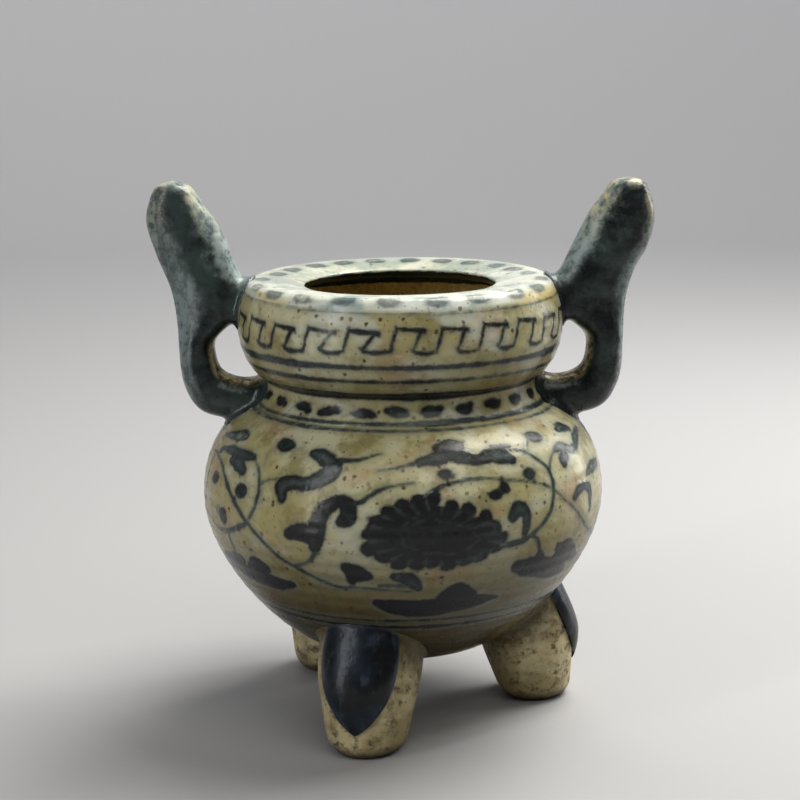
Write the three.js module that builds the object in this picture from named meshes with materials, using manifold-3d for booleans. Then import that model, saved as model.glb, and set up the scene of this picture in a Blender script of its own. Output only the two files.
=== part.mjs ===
// Tripod incense burner in blue and white stoneware: a thrown bowl, a neck and mouth collar, two
// upright ears and three feet, each with a raised leaf pad. The pieces were made apart and luted
// together with slip before the glaze. Millimetres, +Z up, origin on the ground under the bowl's axis.
// The ears lie along X, and the front foot is turned a little from -Y, as the potter set it.
import * as THREE from "three";
import { mergeVertices } from "three/addons/utils/BufferGeometryUtils.js";
import Module from "manifold-3d";

const wasm = await Module();
wasm.setup();

// Joints
const slipGap = 0.3; // thickness of the luting slip between two pieces

// Bowl
const bellyRadius = 55;
const bellyHeight = 61.8; // the widest ring above the ground
const baseHeight = 19.1; // underside of the bowl above the ground
const baseRadius = 18; // flat part of the underside
const shoulderRise = 25.2; // widest ring up to the seam with the neck
const bowlWall = 4.5;
const bowlFloor = 5.5;

// Neck and mouth collar
const neckRadius = 36.9;
const neckFlare = 3.1; // how far the neck spreads to its seam on the bowl
const neckHeight = 7.7; // seam up to the ledge under the collar
const neckWall = 4.4;
const ledgeWidth = 1.4; // step out from the neck to the collar
const collarRadius = 44.5;
const collarHeight = 26; // ledge up to the crest of the lip
const collarWall = 4.6;
const lipEdgeDrop = 4.2; // crest down to the painted edge of the collar
const lipEdgeInset = 1.6; // that edge inside the widest ring
const crestRadius = 37.5; // middle of the flat crest, where a cover would sit
const crestWidth = 2.4;
const mouthRadius = 26.3;
const mouthDrop = 1.8; // crest down to the mouth's rounded edge
const lipThickness = 4.2;

// Ears
const earDepth = 13; // front to back
const earFullness = 2.5; // 2 is an ellipse, more is squarer
const armThickness = 9.8; // the rising arm, seen from the front
const armGap = 6.1; // clear gap between the collar and the arm
const armRootThickness = 11.2;
const bladeWidth = 19.2; // the leaning blade, seen from the front
const bladeHeights = { right: 25.9, left: 26.4 }; // blade above the crest of the lip
const bladeLeans = { right: 8.4, left: 7.4 }; // blade's outer edge beyond the arm's
const bridgeHeight = 12.2; // clay that joins the blade to the collar

// Feet
const footAngles = { front: -16, right: 98, left: 216 }; // degrees from -Y towards +X
const footInset = 17.6; // foot's centre inside the widest ring
const footHalfWidth = 9.7;
const soleInset = 3.3; // flat sole inside the foot's side
const soleRise = 4.6; // height at which the sole's round edge ends
const kneeHalfWidth = 13.8;
const kneeHeight = 22;
const kneeInset = 20.8; // knee's centre inside the widest ring
const footFullness = 2.3;
const footTuck = 0.5; // how fast the foot leans in above the knee

// Leaf pads
const padThickness = 1.1;
const padEdge = 0.45; // thickness at the rim
const padHalfWidth = 10.3;
const padTopHalfWidth = 6.8; // where the pad goes under the bowl
const padTipHeights = { front: 7.6, right: 9.4, left: 9 };

// Facets
const turnSides = 56;
const curveSteps = 8;

// Heights and radii that follow
const seamHeight = bellyHeight + shoulderRise;
const seamRadius = neckRadius + neckFlare;
const ledgeHeight = seamHeight + neckHeight;
const crestHeight = ledgeHeight + collarHeight;

const point = (x, y) => new THREE.Vector2(x, y);

// Points along a cubic curve, without its first point when it carries on from another.
function bezier(from, near, far, to, steps = curveSteps, skipFirst = true) {
  const points = new THREE.CubicBezierCurve(from, near, far, to).getPoints(steps);
  return skipFirst ? points.slice(1) : points;
}

// The profile moved to its right by a distance: inwards for a negative one.
function offsetProfile(profile, distance) {
  return profile.map((p, i) => {
    const before = profile[Math.max(i - 1, 0)];
    const after = profile[Math.min(i + 1, profile.length - 1)];
    const along = after.clone().sub(before).normalize();
    return point(Math.max(p.x + along.y * distance, 0), p.y - along.x * distance);
  });
}

// A profile of (radius, height) turned about Z.
function turn(profile) {
  return new THREE.LatheGeometry(profile, turnSides).rotateX(Math.PI / 2);
}

function solidOf(geometry) {
  const bare = geometry.index ? geometry.toNonIndexed() : geometry.clone();
  bare.deleteAttribute("normal");
  bare.deleteAttribute("uv");
  const merged = mergeVertices(bare, 1e-3);
  return new wasm.Manifold(
    new wasm.Mesh({
      numProp: 3,
      vertProperties: merged.attributes.position.array,
      triVerts: new Uint32Array(merged.index.array),
    }),
  );
}

function geometryOf(solid) {
  const mesh = solid.getMesh();
  const geometry = new THREE.BufferGeometry();
  geometry.setAttribute("position", new THREE.BufferAttribute(mesh.vertProperties, mesh.numProp));
  geometry.setIndex(new THREE.BufferAttribute(mesh.triVerts, 1));
  geometry.computeVertexNormals();
  return geometry;
}

// Outer outline of the bowl, from the middle of its underside up to the seam.
function bowlOutline() {
  const widest = point(bellyRadius, bellyHeight);
  const bellyDepth = bellyHeight - baseHeight;
  const under = bezier(
    point(baseRadius, baseHeight),
    point(baseRadius + 0.4 * (bellyRadius - baseRadius), baseHeight),
    point(bellyRadius, bellyHeight - 0.4 * bellyDepth),
    widest,
    10,
    false,
  );
  const shoulder = bezier(
    widest,
    point(bellyRadius, bellyHeight + 0.63 * shoulderRise),
    point(seamRadius + 0.4 * (bellyRadius - seamRadius), seamHeight - 0.11 * shoulderRise),
    point(seamRadius, seamHeight),
  );
  return [...under, ...shoulder];
}

function bowl() {
  const outside = bowlOutline();
  const inside = offsetProfile(outside, -bowlWall)
    .filter((p, i) => i % 2 === 0 && p.y > baseHeight + bowlFloor && p.y < seamHeight - 1)
    .reverse();
  const floorHeight = baseHeight + bowlFloor;
  return turn([
    point(0, baseHeight),
    ...outside,
    point(seamRadius - bowlWall, seamHeight),
    ...inside,
    point(baseRadius, floorHeight),
    point(0, floorHeight),
  ]);
}

// Outer outline of the neck and collar, from the seam up over the lip to the mouth.
function collarOutline() {
  const ledge = point(neckRadius + ledgeWidth, ledgeHeight);
  const edge = point(collarRadius - lipEdgeInset, crestHeight - lipEdgeDrop);
  const crestOuter = point(crestRadius + crestWidth / 2, crestHeight);
  const crestInner = point(crestRadius - crestWidth / 2, crestHeight);
  const mouth = point(mouthRadius, crestHeight - mouthDrop);
  const neckTop = point(neckRadius, ledgeHeight - 1);
  const neck = bezier(
    point(seamRadius, seamHeight),
    point(neckRadius + 0.3 * neckFlare, seamHeight + 0.3 * neckHeight),
    point(neckRadius, seamHeight + 0.5 * neckHeight),
    neckTop,
    4,
    false,
  );
  const side = bezier(
    ledge,
    point(collarRadius, ledgeHeight + 0.16 * collarHeight),
    point(collarRadius + 1.2, crestHeight - 0.4 * collarHeight),
    edge,
    8,
  );
  const shoulder = bezier(
    edge,
    point(edge.x - 1, edge.y + 0.5 * lipEdgeDrop),
    point(crestOuter.x + 3, crestHeight),
    crestOuter,
    4,
  );
  const dish = bezier(
    crestInner,
    point(crestInner.x - 3, crestHeight),
    point(mouthRadius + 1.5, mouth.y + 0.6),
    mouth,
    4,
  );
  return [...neck, ledge, ...side, ...shoulder, crestInner, ...dish];
}

function mouthCollar() {
  const lipUnder = crestHeight - lipThickness;
  const hollowRadius = collarRadius - collarWall;
  const neckInside = neckRadius - neckWall;
  const hollowTop = point(hollowRadius - 3, lipUnder - 0.6);
  const hollow = bezier(
    hollowTop,
    point(hollowRadius + 1.4, lipUnder - 2),
    point(hollowRadius + 0.5, ledgeHeight + 0.3 * collarHeight),
    point(neckInside, ledgeHeight),
    5,
  );
  return turn([
    ...collarOutline(),
    point(mouthRadius + 0.3, lipUnder + 0.8),
    point(mouthRadius + 2, lipUnder),
    hollowTop,
    ...hollow,
    point(neckInside, seamHeight + 0.4 * neckHeight),
    point(seamRadius - bowlWall, seamHeight),
    point(seamRadius, seamHeight),
  ]);
}

// The vessel filled in and grown by the slip, which cuts the seats of the ears and feet.
function vesselWithSlip() {
  const bowlSlip = offsetProfile(bowlOutline(), slipGap);
  const collarSlip = offsetProfile(collarOutline(), slipGap);
  const lowest = bowlSlip[0].y;
  const bowlTop = bowlSlip.at(-1);
  const collarFoot = collarSlip[0];
  const bowlFill = [point(0, lowest), ...bowlSlip, point(0, bowlTop.y)];
  const collarFill = [point(0, collarFoot.y), ...collarSlip, point(0, collarSlip.at(-1).y)];
  return solidOf(turn(bowlFill)).add(solidOf(turn(collarFill)));
}

// Height of the bowl's underside at a radius, read from its outline.
function undersideAt(radius) {
  const outline = bowlOutline();
  const above = outline.findIndex((p) => p.x >= radius);
  const [low, high] = [outline[above - 1], outline[above]];
  return THREE.MathUtils.mapLinear(radius, low.x, high.x, low.y, high.y);
}

// Squares off a circle's cosine or sine.
const bulge = (c, fullness) => Math.sign(c) * Math.abs(c) ** (2 / fullness);

// A closed solid between two rails in the XZ plane that meet at their end. Each ring spans from the
// inner rail to the outer one and is as deep, along Y, as halfDepth says.
function loft(innerRail, outerRail, halfDepth, fullness, steps, sides) {
  const positions = [];
  const indices = [];
  for (let i = 0; i < steps; i++) {
    const t = i / steps;
    const inner = innerRail.getPoint(t);
    const outer = outerRail.getPoint(t);
    for (let j = 0; j < sides; j++) {
      const angle = (2 * Math.PI * j) / sides;
      const across = 0.5 + 0.5 * bulge(Math.cos(angle), fullness);
      const x = THREE.MathUtils.lerp(inner.x, outer.x, across);
      const z = THREE.MathUtils.lerp(inner.y, outer.y, across);
      positions.push(x, halfDepth(t) * bulge(Math.sin(angle), fullness), z);
    }
  }
  const start = steps * sides;
  const tip = start + 1;
  const middle = innerRail.getPoint(0).lerp(outerRail.getPoint(0), 0.5);
  const end = innerRail.getPoint(1);
  positions.push(middle.x, 0, middle.y, end.x, 0, end.y);
  for (let j = 0; j < sides; j++) {
    const next = (j + 1) % sides;
    indices.push(next, j, start);
    for (let i = 0; i + 1 < steps; i++) {
      const a = i * sides + j;
      const b = i * sides + next;
      indices.push(a, b, b + sides, a, b + sides, a + sides);
    }
    indices.push((steps - 1) * sides + j, (steps - 1) * sides + next, tip);
  }
  const geometry = new THREE.BufferGeometry();
  geometry.setAttribute("position", new THREE.Float32BufferAttribute(positions, 3));
  geometry.setIndex(indices);
  return geometry;
}

// The ear's two rails: out from the neck, round the bend, up the arm, in to the bridge on the
// collar and out along the leaning blade to its round tip.
function earRails(side) {
  const armInner = collarRadius + armGap;
  const armOuter = armInner + armThickness;
  const rootTop = ledgeHeight - 0.4;
  const rootBottom = rootTop - armRootThickness;
  const rootStart = neckRadius - 2;
  const bridgeTop = crestHeight + 0.6;
  const bridgeFoot = bridgeTop - bridgeHeight;
  const bladeHeight = bladeHeights[side];
  const bladeOuter = armOuter + bladeLeans[side];
  const bladeMiddle = crestHeight + 0.42 * bladeHeight;
  const tip = point(bladeOuter - 0.37 * bladeWidth, crestHeight + bladeHeight);
  const inner = [
    point(rootStart, rootTop),
    point(collarRadius - 0.5, rootTop - 0.9),
    point(armInner - 1.5, rootTop + 1.6),
    point(armInner, rootTop + 6.5),
    point(armInner - 0.4, bridgeFoot - 5),
    point(collarRadius + 1.5, bridgeFoot - 0.9),
    point(collarRadius - 3.5, bridgeFoot + 2),
    point(collarRadius - 4, bridgeTop - 3),
    point(collarRadius - 1.2, bridgeTop + 0.9),
    point(bladeOuter - bladeWidth - 2.2, bladeMiddle - 1.5),
    point(bladeOuter - bladeWidth + 1.4, bladeMiddle + 5.5),
    point(tip.x - 7.3, tip.y - 4.9),
    point(tip.x - 4.6, tip.y - 1.3),
    tip,
  ];
  const outer = [
    point(rootStart, rootBottom),
    point(collarRadius + 2, rootBottom - 0.8),
    point(armOuter - 5.3, rootBottom + 1.7),
    point(armOuter - 1.2, rootBottom + 8),
    point(armOuter, rootTop + 8),
    point(armOuter + 0.1, bridgeFoot - 2.5),
    point(armOuter + 0.5, bridgeFoot + 3),
    point(armOuter + 1.8, bridgeTop - 3),
    point(armOuter + 3.4, bridgeTop + 1.5),
    point(bladeOuter - 2.1, bladeMiddle - 4),
    point(bladeOuter, bladeMiddle + 4),
    point(bladeOuter - 0.8, tip.y - 5.8),
    point(tip.x + 4.2, tip.y - 1.4),
    tip,
  ];
  const rail = (points) =>
    new THREE.CatmullRomCurve3(
      points.map((p) => new THREE.Vector3(p.x, p.y, 0)),
      false,
      "centripetal",
    );
  return { inner: rail(inner), outer: rail(outer), last: inner.length - 1 };
}

// One ear set on the +X side, with its seats on the neck, shoulder and collar cut.
function ear(vessel, side) {
  const { inner, outer, last } = earRails(side);
  const tipStart = (last - 2) / last;
  const halfDepth = (t) => {
    const rounding = THREE.MathUtils.clamp((t - tipStart) / (1 - tipStart), 0, 1);
    return (earDepth / 2) * Math.sqrt(1 - rounding ** 2);
  };
  return solidOf(loft(inner, outer, halfDepth, earFullness, 42, 20)).subtract(vessel);
}

// Half width of a foot at a height: a rounded sole, then a taper out to the knee.
function footWidthAt(height) {
  const taper = THREE.MathUtils.clamp(height / kneeHeight, 0, 1);
  const side = THREE.MathUtils.lerp(footHalfWidth, kneeHalfWidth, taper * (1.4 - 0.4 * taper));
  const below = THREE.MathUtils.clamp(1 - height / soleRise, 0, 1);
  return side - soleInset * (1 - Math.sqrt(1 - below ** 2));
}

// Distance of a foot's centre from the bowl's axis at a height.
function footCentreAt(height) {
  const rise = THREE.MathUtils.clamp(height / kneeHeight, 0, 1);
  const lean = THREE.MathUtils.lerp(footInset, kneeInset, rise);
  return bellyRadius - lean - Math.max(0, height - kneeHeight) * footTuck;
}

// Where the foot ends inside the bowl's wall.
const footTop = undersideAt(bellyRadius - kneeInset + kneeHalfWidth * 0.55) + bowlWall;

// A point on the foot's skin, moved outwards by a distance. The angle is from its outward side.
function footSkin(angle, height, distance) {
  const reach = footWidthAt(height) + distance;
  return new THREE.Vector3(
    footCentreAt(height) + reach * bulge(Math.cos(angle), footFullness),
    reach * bulge(Math.sin(angle), footFullness),
    height,
  );
}

// Stitches rows of points, all the same length, into a closed skin with flat ends.
function closedRows(rows) {
  const sides = rows[0].length;
  const positions = rows.flat().flatMap((p) => p.toArray());
  const indices = [];
  for (let i = 0; i + 1 < rows.length; i++) {
    for (let j = 0; j < sides; j++) {
      const a = i * sides + j;
      const b = i * sides + ((j + 1) % sides);
      indices.push(a, b, b + sides, a, b + sides, a + sides);
    }
  }
  const lastRow = (rows.length - 1) * sides;
  for (let j = 1; j + 1 < sides; j++) {
    indices.push(j + 1, j, 0);
    indices.push(lastRow, lastRow + j, lastRow + j + 1);
  }
  const geometry = new THREE.BufferGeometry();
  geometry.setAttribute("position", new THREE.Float32BufferAttribute(positions, 3));
  geometry.setIndex(indices);
  return geometry;
}

// One foot, standing on the +X side.
function foot(vessel) {
  const sides = 26;
  const soleHeights = [0, 0.1, 0.3, 0.6, 1].map((share) => share * soleRise);
  const upperSteps = 8;
  const heights = [...soleHeights];
  for (let i = 1; i <= upperSteps; i++) {
    heights.push(THREE.MathUtils.lerp(soleRise, footTop, i / upperSteps));
  }
  const rows = heights.map((height) =>
    Array.from({ length: sides }, (_, j) => footSkin((2 * Math.PI * j) / sides, height, 0)),
  );
  return solidOf(closedRows(rows)).subtract(vessel);
}

// One leaf pad on the foot of the +X side: pointed below, widest at the knee, hidden under the bowl.
function leafPad(vessel, tipHeight) {
  const rowCount = 12;
  const columns = 10;
  const outline = new THREE.CubicBezierCurve(
    point(0.4, tipHeight),
    point(1.28 * padHalfWidth, THREE.MathUtils.lerp(tipHeight, kneeHeight, 0.6)),
    point(1.12 * padHalfWidth, THREE.MathUtils.lerp(kneeHeight, footTop, 0.7)),
    point(padTopHalfWidth, footTop),
  );
  const rows = outline.getPoints(rowCount).map(({ x: halfWidth, y: height }, i) => {
    const reach = footWidthAt(height) + slipGap;
    const widestAngle = Math.asin((halfWidth / reach) ** (footFullness / 2));
    const swell = Math.min(1, (4 * i) / rowCount);
    const outside = [];
    const inside = [];
    for (let j = 0; j <= columns; j++) {
      const across = (2 * j) / columns - 1;
      const thickness = THREE.MathUtils.lerp(padEdge, padThickness, swell * Math.sqrt(1 - across ** 2));
      outside.push(footSkin(across * widestAngle, height, slipGap + thickness));
      inside.push(footSkin(across * widestAngle, height, slipGap));
    }
    return [...outside, ...inside.reverse()];
  });
  return solidOf(closedRows(rows)).subtract(vessel);
}

const glaze = { bowl: 0xb3aa83, collar: 0xb8ae88, ear: 0x2b3a3c, foot: 0xb9ae8e, pad: 0x1c2733 };

function addPiece(group, name, geometry, color, roughness) {
  const material = new THREE.MeshStandardMaterial({ color, roughness, metalness: 0 });
  const mesh = new THREE.Mesh(geometry, material);
  mesh.name = name;
  group.add(mesh);
  return mesh;
}

const burner = new THREE.Group();
const vessel = vesselWithSlip();
addPiece(burner, "bowl", bowl(), glaze.bowl, 0.3);
addPiece(burner, "mouth_collar", mouthCollar(), glaze.collar, 0.3);

const earTurns = { right: 0, left: Math.PI };
for (const [side, turned] of Object.entries(earTurns)) {
  const earGeometry = geometryOf(ear(vessel, side));
  addPiece(burner, `ear_${side}`, earGeometry, glaze.ear, 0.2).rotation.z = turned;
}

const footGeometry = geometryOf(foot(vessel));
for (const [place, degrees] of Object.entries(footAngles)) {
  const turned = THREE.MathUtils.degToRad(degrees - 90);
  const padGeometry = geometryOf(leafPad(vessel, padTipHeights[place]));
  addPiece(burner, `foot_${place}`, footGeometry, glaze.foot, 0.45).rotation.z = turned;
  addPiece(burner, `leaf_pad_${place}`, padGeometry, glaze.pad, 0.2).rotation.z = turned;
}

export default burner;
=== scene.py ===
import math

import bpy
import numpy as np
from mathutils import Matrix, Vector


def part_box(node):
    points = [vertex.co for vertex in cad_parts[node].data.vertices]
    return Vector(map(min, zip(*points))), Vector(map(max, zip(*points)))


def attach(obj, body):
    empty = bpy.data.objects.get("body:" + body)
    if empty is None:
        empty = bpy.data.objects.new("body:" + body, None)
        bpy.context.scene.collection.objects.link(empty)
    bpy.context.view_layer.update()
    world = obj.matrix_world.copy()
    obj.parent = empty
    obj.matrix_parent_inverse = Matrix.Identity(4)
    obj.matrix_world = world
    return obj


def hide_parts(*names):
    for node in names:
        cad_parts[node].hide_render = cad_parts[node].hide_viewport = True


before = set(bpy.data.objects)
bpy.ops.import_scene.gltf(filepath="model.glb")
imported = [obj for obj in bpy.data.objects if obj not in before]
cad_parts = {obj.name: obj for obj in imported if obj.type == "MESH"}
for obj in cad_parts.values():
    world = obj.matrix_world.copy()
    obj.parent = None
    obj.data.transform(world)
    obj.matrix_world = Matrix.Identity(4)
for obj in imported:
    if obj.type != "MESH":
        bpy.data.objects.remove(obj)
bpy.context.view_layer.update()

# Blue and white stoneware incense burner on three feet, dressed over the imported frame.
# Angles on the pot are in degrees from the front (-Y) towards +X. Heights up a wall are in mm.

millimetre = 0.001


def newObject(name, data):
    made = bpy.data.objects.new(name, data)
    bpy.context.scene.collection.objects.link(made)
    return made


def smoothMesh(name, vertices, faces):
    # vertices in metres
    mesh = bpy.data.meshes.new(name)
    mesh.from_pydata(vertices, [], faces)
    mesh.update()
    mesh.shade_smooth()
    return mesh


# Camera

cameraSetup = {
    "place": (-0.0004, -0.476, 0.1798),
    "tiltDegrees": 78.9,   # 90 looks level
    "rollDegrees": -0.8,
    "lens": 79.56,
    "sensorWidth": 36.0,
}


def makeCamera(setup):
    data = bpy.data.cameras.new("camera")
    data.lens = setup["lens"]
    data.sensor_width = setup["sensorWidth"]
    camera = newObject("camera", data)
    turn = Matrix.Rotation(math.radians(setup["tiltDegrees"]), 4, "X")
    roll = Matrix.Rotation(math.radians(setup["rollDegrees"]), 4, "Z")
    camera.matrix_world = Matrix.Translation(setup["place"]) @ turn @ roll
    bpy.context.scene.camera = camera


makeCamera(cameraSetup)
print("camera placed")

# Small material tools


def newMaterial(name):
    material = bpy.data.materials.new(name)
    material.use_nodes = True
    nodes = material.node_tree.nodes
    nodes.clear()
    output = nodes.new("ShaderNodeOutputMaterial")
    shader = nodes.new("ShaderNodeBsdfPrincipled")
    material.node_tree.links.new(shader.outputs["BSDF"], output.inputs["Surface"])
    return material, material.node_tree, shader


def newNode(tree, kind, output, inputs, **settings):
    # inputs maps a socket's name or number to a value or to another node's output
    node = tree.nodes.new("ShaderNode" + kind)
    for name, value in settings.items():
        setattr(node, name, value)
    for key, value in inputs.items():
        if isinstance(value, bpy.types.NodeSocket):
            tree.links.new(value, node.inputs[key])
        else:
            node.inputs[key].default_value = value
    return node.outputs[output]


def compute(tree, operation, first, second=0.0, third=0.0):
    return newNode(tree, "Math", 0, {0: first, 1: second, 2: third}, operation=operation)


def times(tree, first, second):
    return compute(tree, "MULTIPLY", first, second)


def drifted(tree, value, by, amount):
    # value pushed up and down by a noise
    return compute(tree, "MULTIPLY_ADD", compute(tree, "SUBTRACT", by, 0.5), amount, value)


def ramp(tree, value, low, high, start=0.0, end=1.0):
    # a soft step of value, from start at low to end at high
    inputs = {"Value": value, "From Min": low, "From Max": high, "To Min": start, "To Max": end}
    return newNode(tree, "MapRange", "Result", inputs, interpolation_type="SMOOTHSTEP")


def mixColor(tree, amount, first, second, blend="MIX"):
    inputs = {"Factor": amount, "A": first, "B": second}
    return newNode(tree, "Mix", "Result", inputs, data_type="RGBA", blend_type=blend)


def over(tree, color, hexCode, amount, blend="MIX"):
    # lays a tint over what is there
    return mixColor(tree, amount, color, tint(hexCode), blend)


def washed(tree, color, hexCode, by, low, high, amount=1.0):
    # lays a tint over color wherever by is above low, at the whole amount from high
    return over(tree, color, hexCode, ramp(tree, by, low, high, 0.0, amount))


def upward(tree, vector):
    return newNode(tree, "SeparateXYZ", "Z", {"Vector": vector})


def objectPlace(tree):
    return newNode(tree, "TexCoord", "Object", {})


def painted(tree, name):
    return newNode(tree, "Attribute", "Fac", {}, attribute_type="GEOMETRY", attribute_name=name)


def noise(tree, place, size, detail=3.0, roughness=0.55, stretch=None):
    # size is about one blotch, in millimetres
    if stretch:
        place = newNode(tree, "Mapping", "Vector", {"Vector": place, "Scale": stretch})
    inputs = {"Vector": place, "Scale": 1 / (size * millimetre), "Detail": detail, "Roughness": roughness}
    return newNode(tree, "TexNoise", "Fac", inputs)


def specks(tree, place, spacing, radius, share):
    # 1 in irregular spots of about that radius; share is how many cells have one
    raggedSize, raggedShift = 1.2, 0.9
    warp = newNode(tree, "TexNoise", "Color", {"Vector": place, "Scale": 1 / (raggedSize * millimetre)})
    shift = {0: warp, 1: [raggedShift * millimetre] * 3, 2: place}
    place = newNode(tree, "VectorMath", "Vector", shift, operation="MULTIPLY_ADD")
    distance = newNode(tree, "TexVoronoi", "Distance", {"Vector": place, "Scale": 1 / (spacing * millimetre)})
    reach = radius / spacing
    spot = ramp(tree, distance, reach * 0.6, reach * 1.25, 1.0, 0.0)
    red = newNode(tree, "SeparateColor", "Red", {"Color": distance.node.outputs["Color"]})
    chosen = compute(tree, "LESS_THAN", red, share)
    strength = compute(tree, "MULTIPLY_ADD", red.node.outputs["Green"], 0.6, 0.4)
    return times(tree, times(tree, spot, chosen), strength)


def bumps(tree, *layers):
    # layers of (height, depth in millimetres), each one on those before it
    under = {}
    for height, depth in layers:
        inputs = {"Strength": 1.0, "Distance": depth * millimetre, "Height": height, **under}
        under = {"Normal": newNode(tree, "Bump", "Normal", inputs)}
    return under["Normal"]


def dress(tree, shader, color, roughness, skin):
    for socket, value in (("Base Color", color), ("Roughness", roughness), ("Normal", skin)):
        tree.links.new(value, shader.inputs[socket])


def tint(hexCode):
    # a screen colour as linear RGBA
    parts = [int(hexCode[i:i + 2], 16) / 255 for i in (0, 2, 4)]
    linear = [p / 12.92 if p <= 0.04045 else ((p + 0.055) / 1.055) ** 2.4 for p in parts]
    return (*linear, 1.0)


# The two walls of the pot, as profiles of (radius, height) in millimetres

bowlLow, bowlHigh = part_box("bowl")
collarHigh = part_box("mouth_collar")[1]

potForm = {
    "bellyHeight": 61.8,
    "baseRadius": 18.0,
    "seamRadius": 40.0,
    "bowlWall": 4.5,
    "bowlFloor": 5.5,
    "neckRadius": 36.9,
    "neckHeight": 7.7,
    "neckWall": 4.4,
    "ledgeWidth": 1.4,
    "collarWall": 4.6,
    "collarRadius": 44.5,   # guide for the swelling side
    "edgeRadius": 42.9,     # painted edge under the lip
    "edgeDrop": 4.2,
    "crestRadius": 37.5,
    "crestWidth": 2.4,
    "mouthRadius": 26.3,
    "mouthDrop": 1.8,
    "lipThickness": 4.2,
    "glazeRounding": 0.7,   # how far the glaze rounds a corner
    "throwingRing": 0.05,
    "ringSpacing": 3.4,
    "outOfRound": 0.16,
    "plainRadius": 8.0,     # no rings inside this
    "lipTilt": 0.016,       # rise of the lip towards the back, per mm
    "tiltFrom": 10.0,       # above the ledge
    "paintingFoot": 36.0,   # height that the bowl's brushwork is counted from
    "paintedCell": 0.56,    # mesh size under the brushwork
}
bellyRadius = bowlHigh[0] / millimetre
baseHeight = bowlLow[2] / millimetre
seamHeight = bowlHigh[2] / millimetre
crestHeight = collarHigh[2] / millimetre
ledgeHeight = seamHeight + potForm["neckHeight"]


def eased(value, low, high):
    share = np.clip((value - low) / (high - low), 0, 1)
    return share * share * (3 - 2 * share)


def roundTurn(sides):
    return 2 * math.pi * np.arange(sides) / sides


def curve(start, near, far, end, steps=40):
    t = np.linspace(0, 1, steps + 1)[:, None]
    start, near, far, end = (np.array(p, float) for p in (start, near, far, end))
    return (1 - t) ** 3 * start + 3 * (1 - t) ** 2 * t * near + 3 * (1 - t) * t ** 2 * far + t ** 3 * end


def alongLengths(points):
    return np.concatenate([[0], np.cumsum(np.linalg.norm(np.diff(points, axis=0), axis=1))])


def evenly(points, spacing):
    lengths = alongLengths(points)
    keep = np.concatenate([[True], np.diff(lengths) > 1e-6])
    points, lengths = points[keep], lengths[keep]
    count = max(2, int(round(lengths[-1] / spacing)) + 1)
    at = np.linspace(0, lengths[-1], count)
    return np.stack([np.interp(at, lengths, points[:, k]) for k in range(points.shape[1])], axis=1)


def rounded(points, spacing, reach):
    # blurs an evenly spaced profile, ends held
    span = int(3 * reach / spacing)
    weights = np.exp(-0.5 * (np.arange(-span, span + 1) * spacing / reach) ** 2)
    weights /= weights.sum()
    ahead = 2 * points[0] - points[1:span + 1][::-1]
    after = 2 * points[-1] - points[-span - 1:-1][::-1]
    padded = np.concatenate([ahead, points, after])
    return np.stack([np.convolve(padded[:, k], weights, "valid") for k in range(2)], axis=1)


def outerWall(form, spacing=0.2):
    base = form["baseRadius"]
    depth = form["bellyHeight"] - baseHeight
    rise = seamHeight - form["bellyHeight"]
    seam = form["seamRadius"]
    under = curve((base, baseHeight), (base + 0.4 * (bellyRadius - base), baseHeight),
                  (bellyRadius, form["bellyHeight"] - 0.4 * depth), (bellyRadius, form["bellyHeight"]))
    shoulder = curve((bellyRadius, form["bellyHeight"]), (bellyRadius, form["bellyHeight"] + 0.63 * rise),
                     (seam + 0.4 * (bellyRadius - seam), seamHeight - 0.11 * rise), (seam, seamHeight))
    neckRadius, neckHeight = form["neckRadius"], form["neckHeight"]
    flare = seam - neckRadius
    neck = curve((seam, seamHeight), (neckRadius + 0.3 * flare, seamHeight + 0.3 * neckHeight),
                 (neckRadius, seamHeight + 0.5 * neckHeight), (neckRadius, ledgeHeight - 1))
    ledge = (neckRadius + form["ledgeWidth"], ledgeHeight)
    height = crestHeight - ledgeHeight
    edge = (form["edgeRadius"], crestHeight - form["edgeDrop"])
    side = curve(ledge, (form["collarRadius"], ledgeHeight + 0.16 * height),
                 (form["collarRadius"] + 1.2, crestHeight - 0.4 * height), edge)
    crestOuter = (form["crestRadius"] + form["crestWidth"] / 2, crestHeight)
    crestInner = (form["crestRadius"] - form["crestWidth"] / 2, crestHeight)
    lip = curve(edge, (edge[0] - 1, edge[1] + 0.5 * form["edgeDrop"]),
                (crestOuter[0] + 3, crestHeight), crestOuter)
    mouth = (form["mouthRadius"], crestHeight - form["mouthDrop"])
    dish = curve(crestInner, (crestInner[0] - 3, crestHeight), (mouth[0] + 1.5, mouth[1] + 0.6), mouth)
    line = np.concatenate([[(0, baseHeight)], under, shoulder, neck, [ledge], side, lip, dish])
    line = evenly(line, spacing)
    line = rounded(line, spacing, form["glazeRounding"])
    line[:, 0] = np.clip(line[:, 0], 0, None)
    line[:, 1] = np.clip(line[:, 1], baseHeight, crestHeight)
    return line


wall = outerWall(potForm)
wallLengths = alongLengths(wall)
seamIndex = int(np.argmax(wall[:, 1] >= seamHeight))
bowlStart = float(np.interp(potForm["paintingFoot"], wall[:seamIndex, 1], wallLengths[:seamIndex]))
collarStart = wallLengths[seamIndex]


def wallAt(lengths):
    return np.stack([np.interp(lengths, wallLengths, wall[:, k]) for k in range(2)], axis=1)


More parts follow.
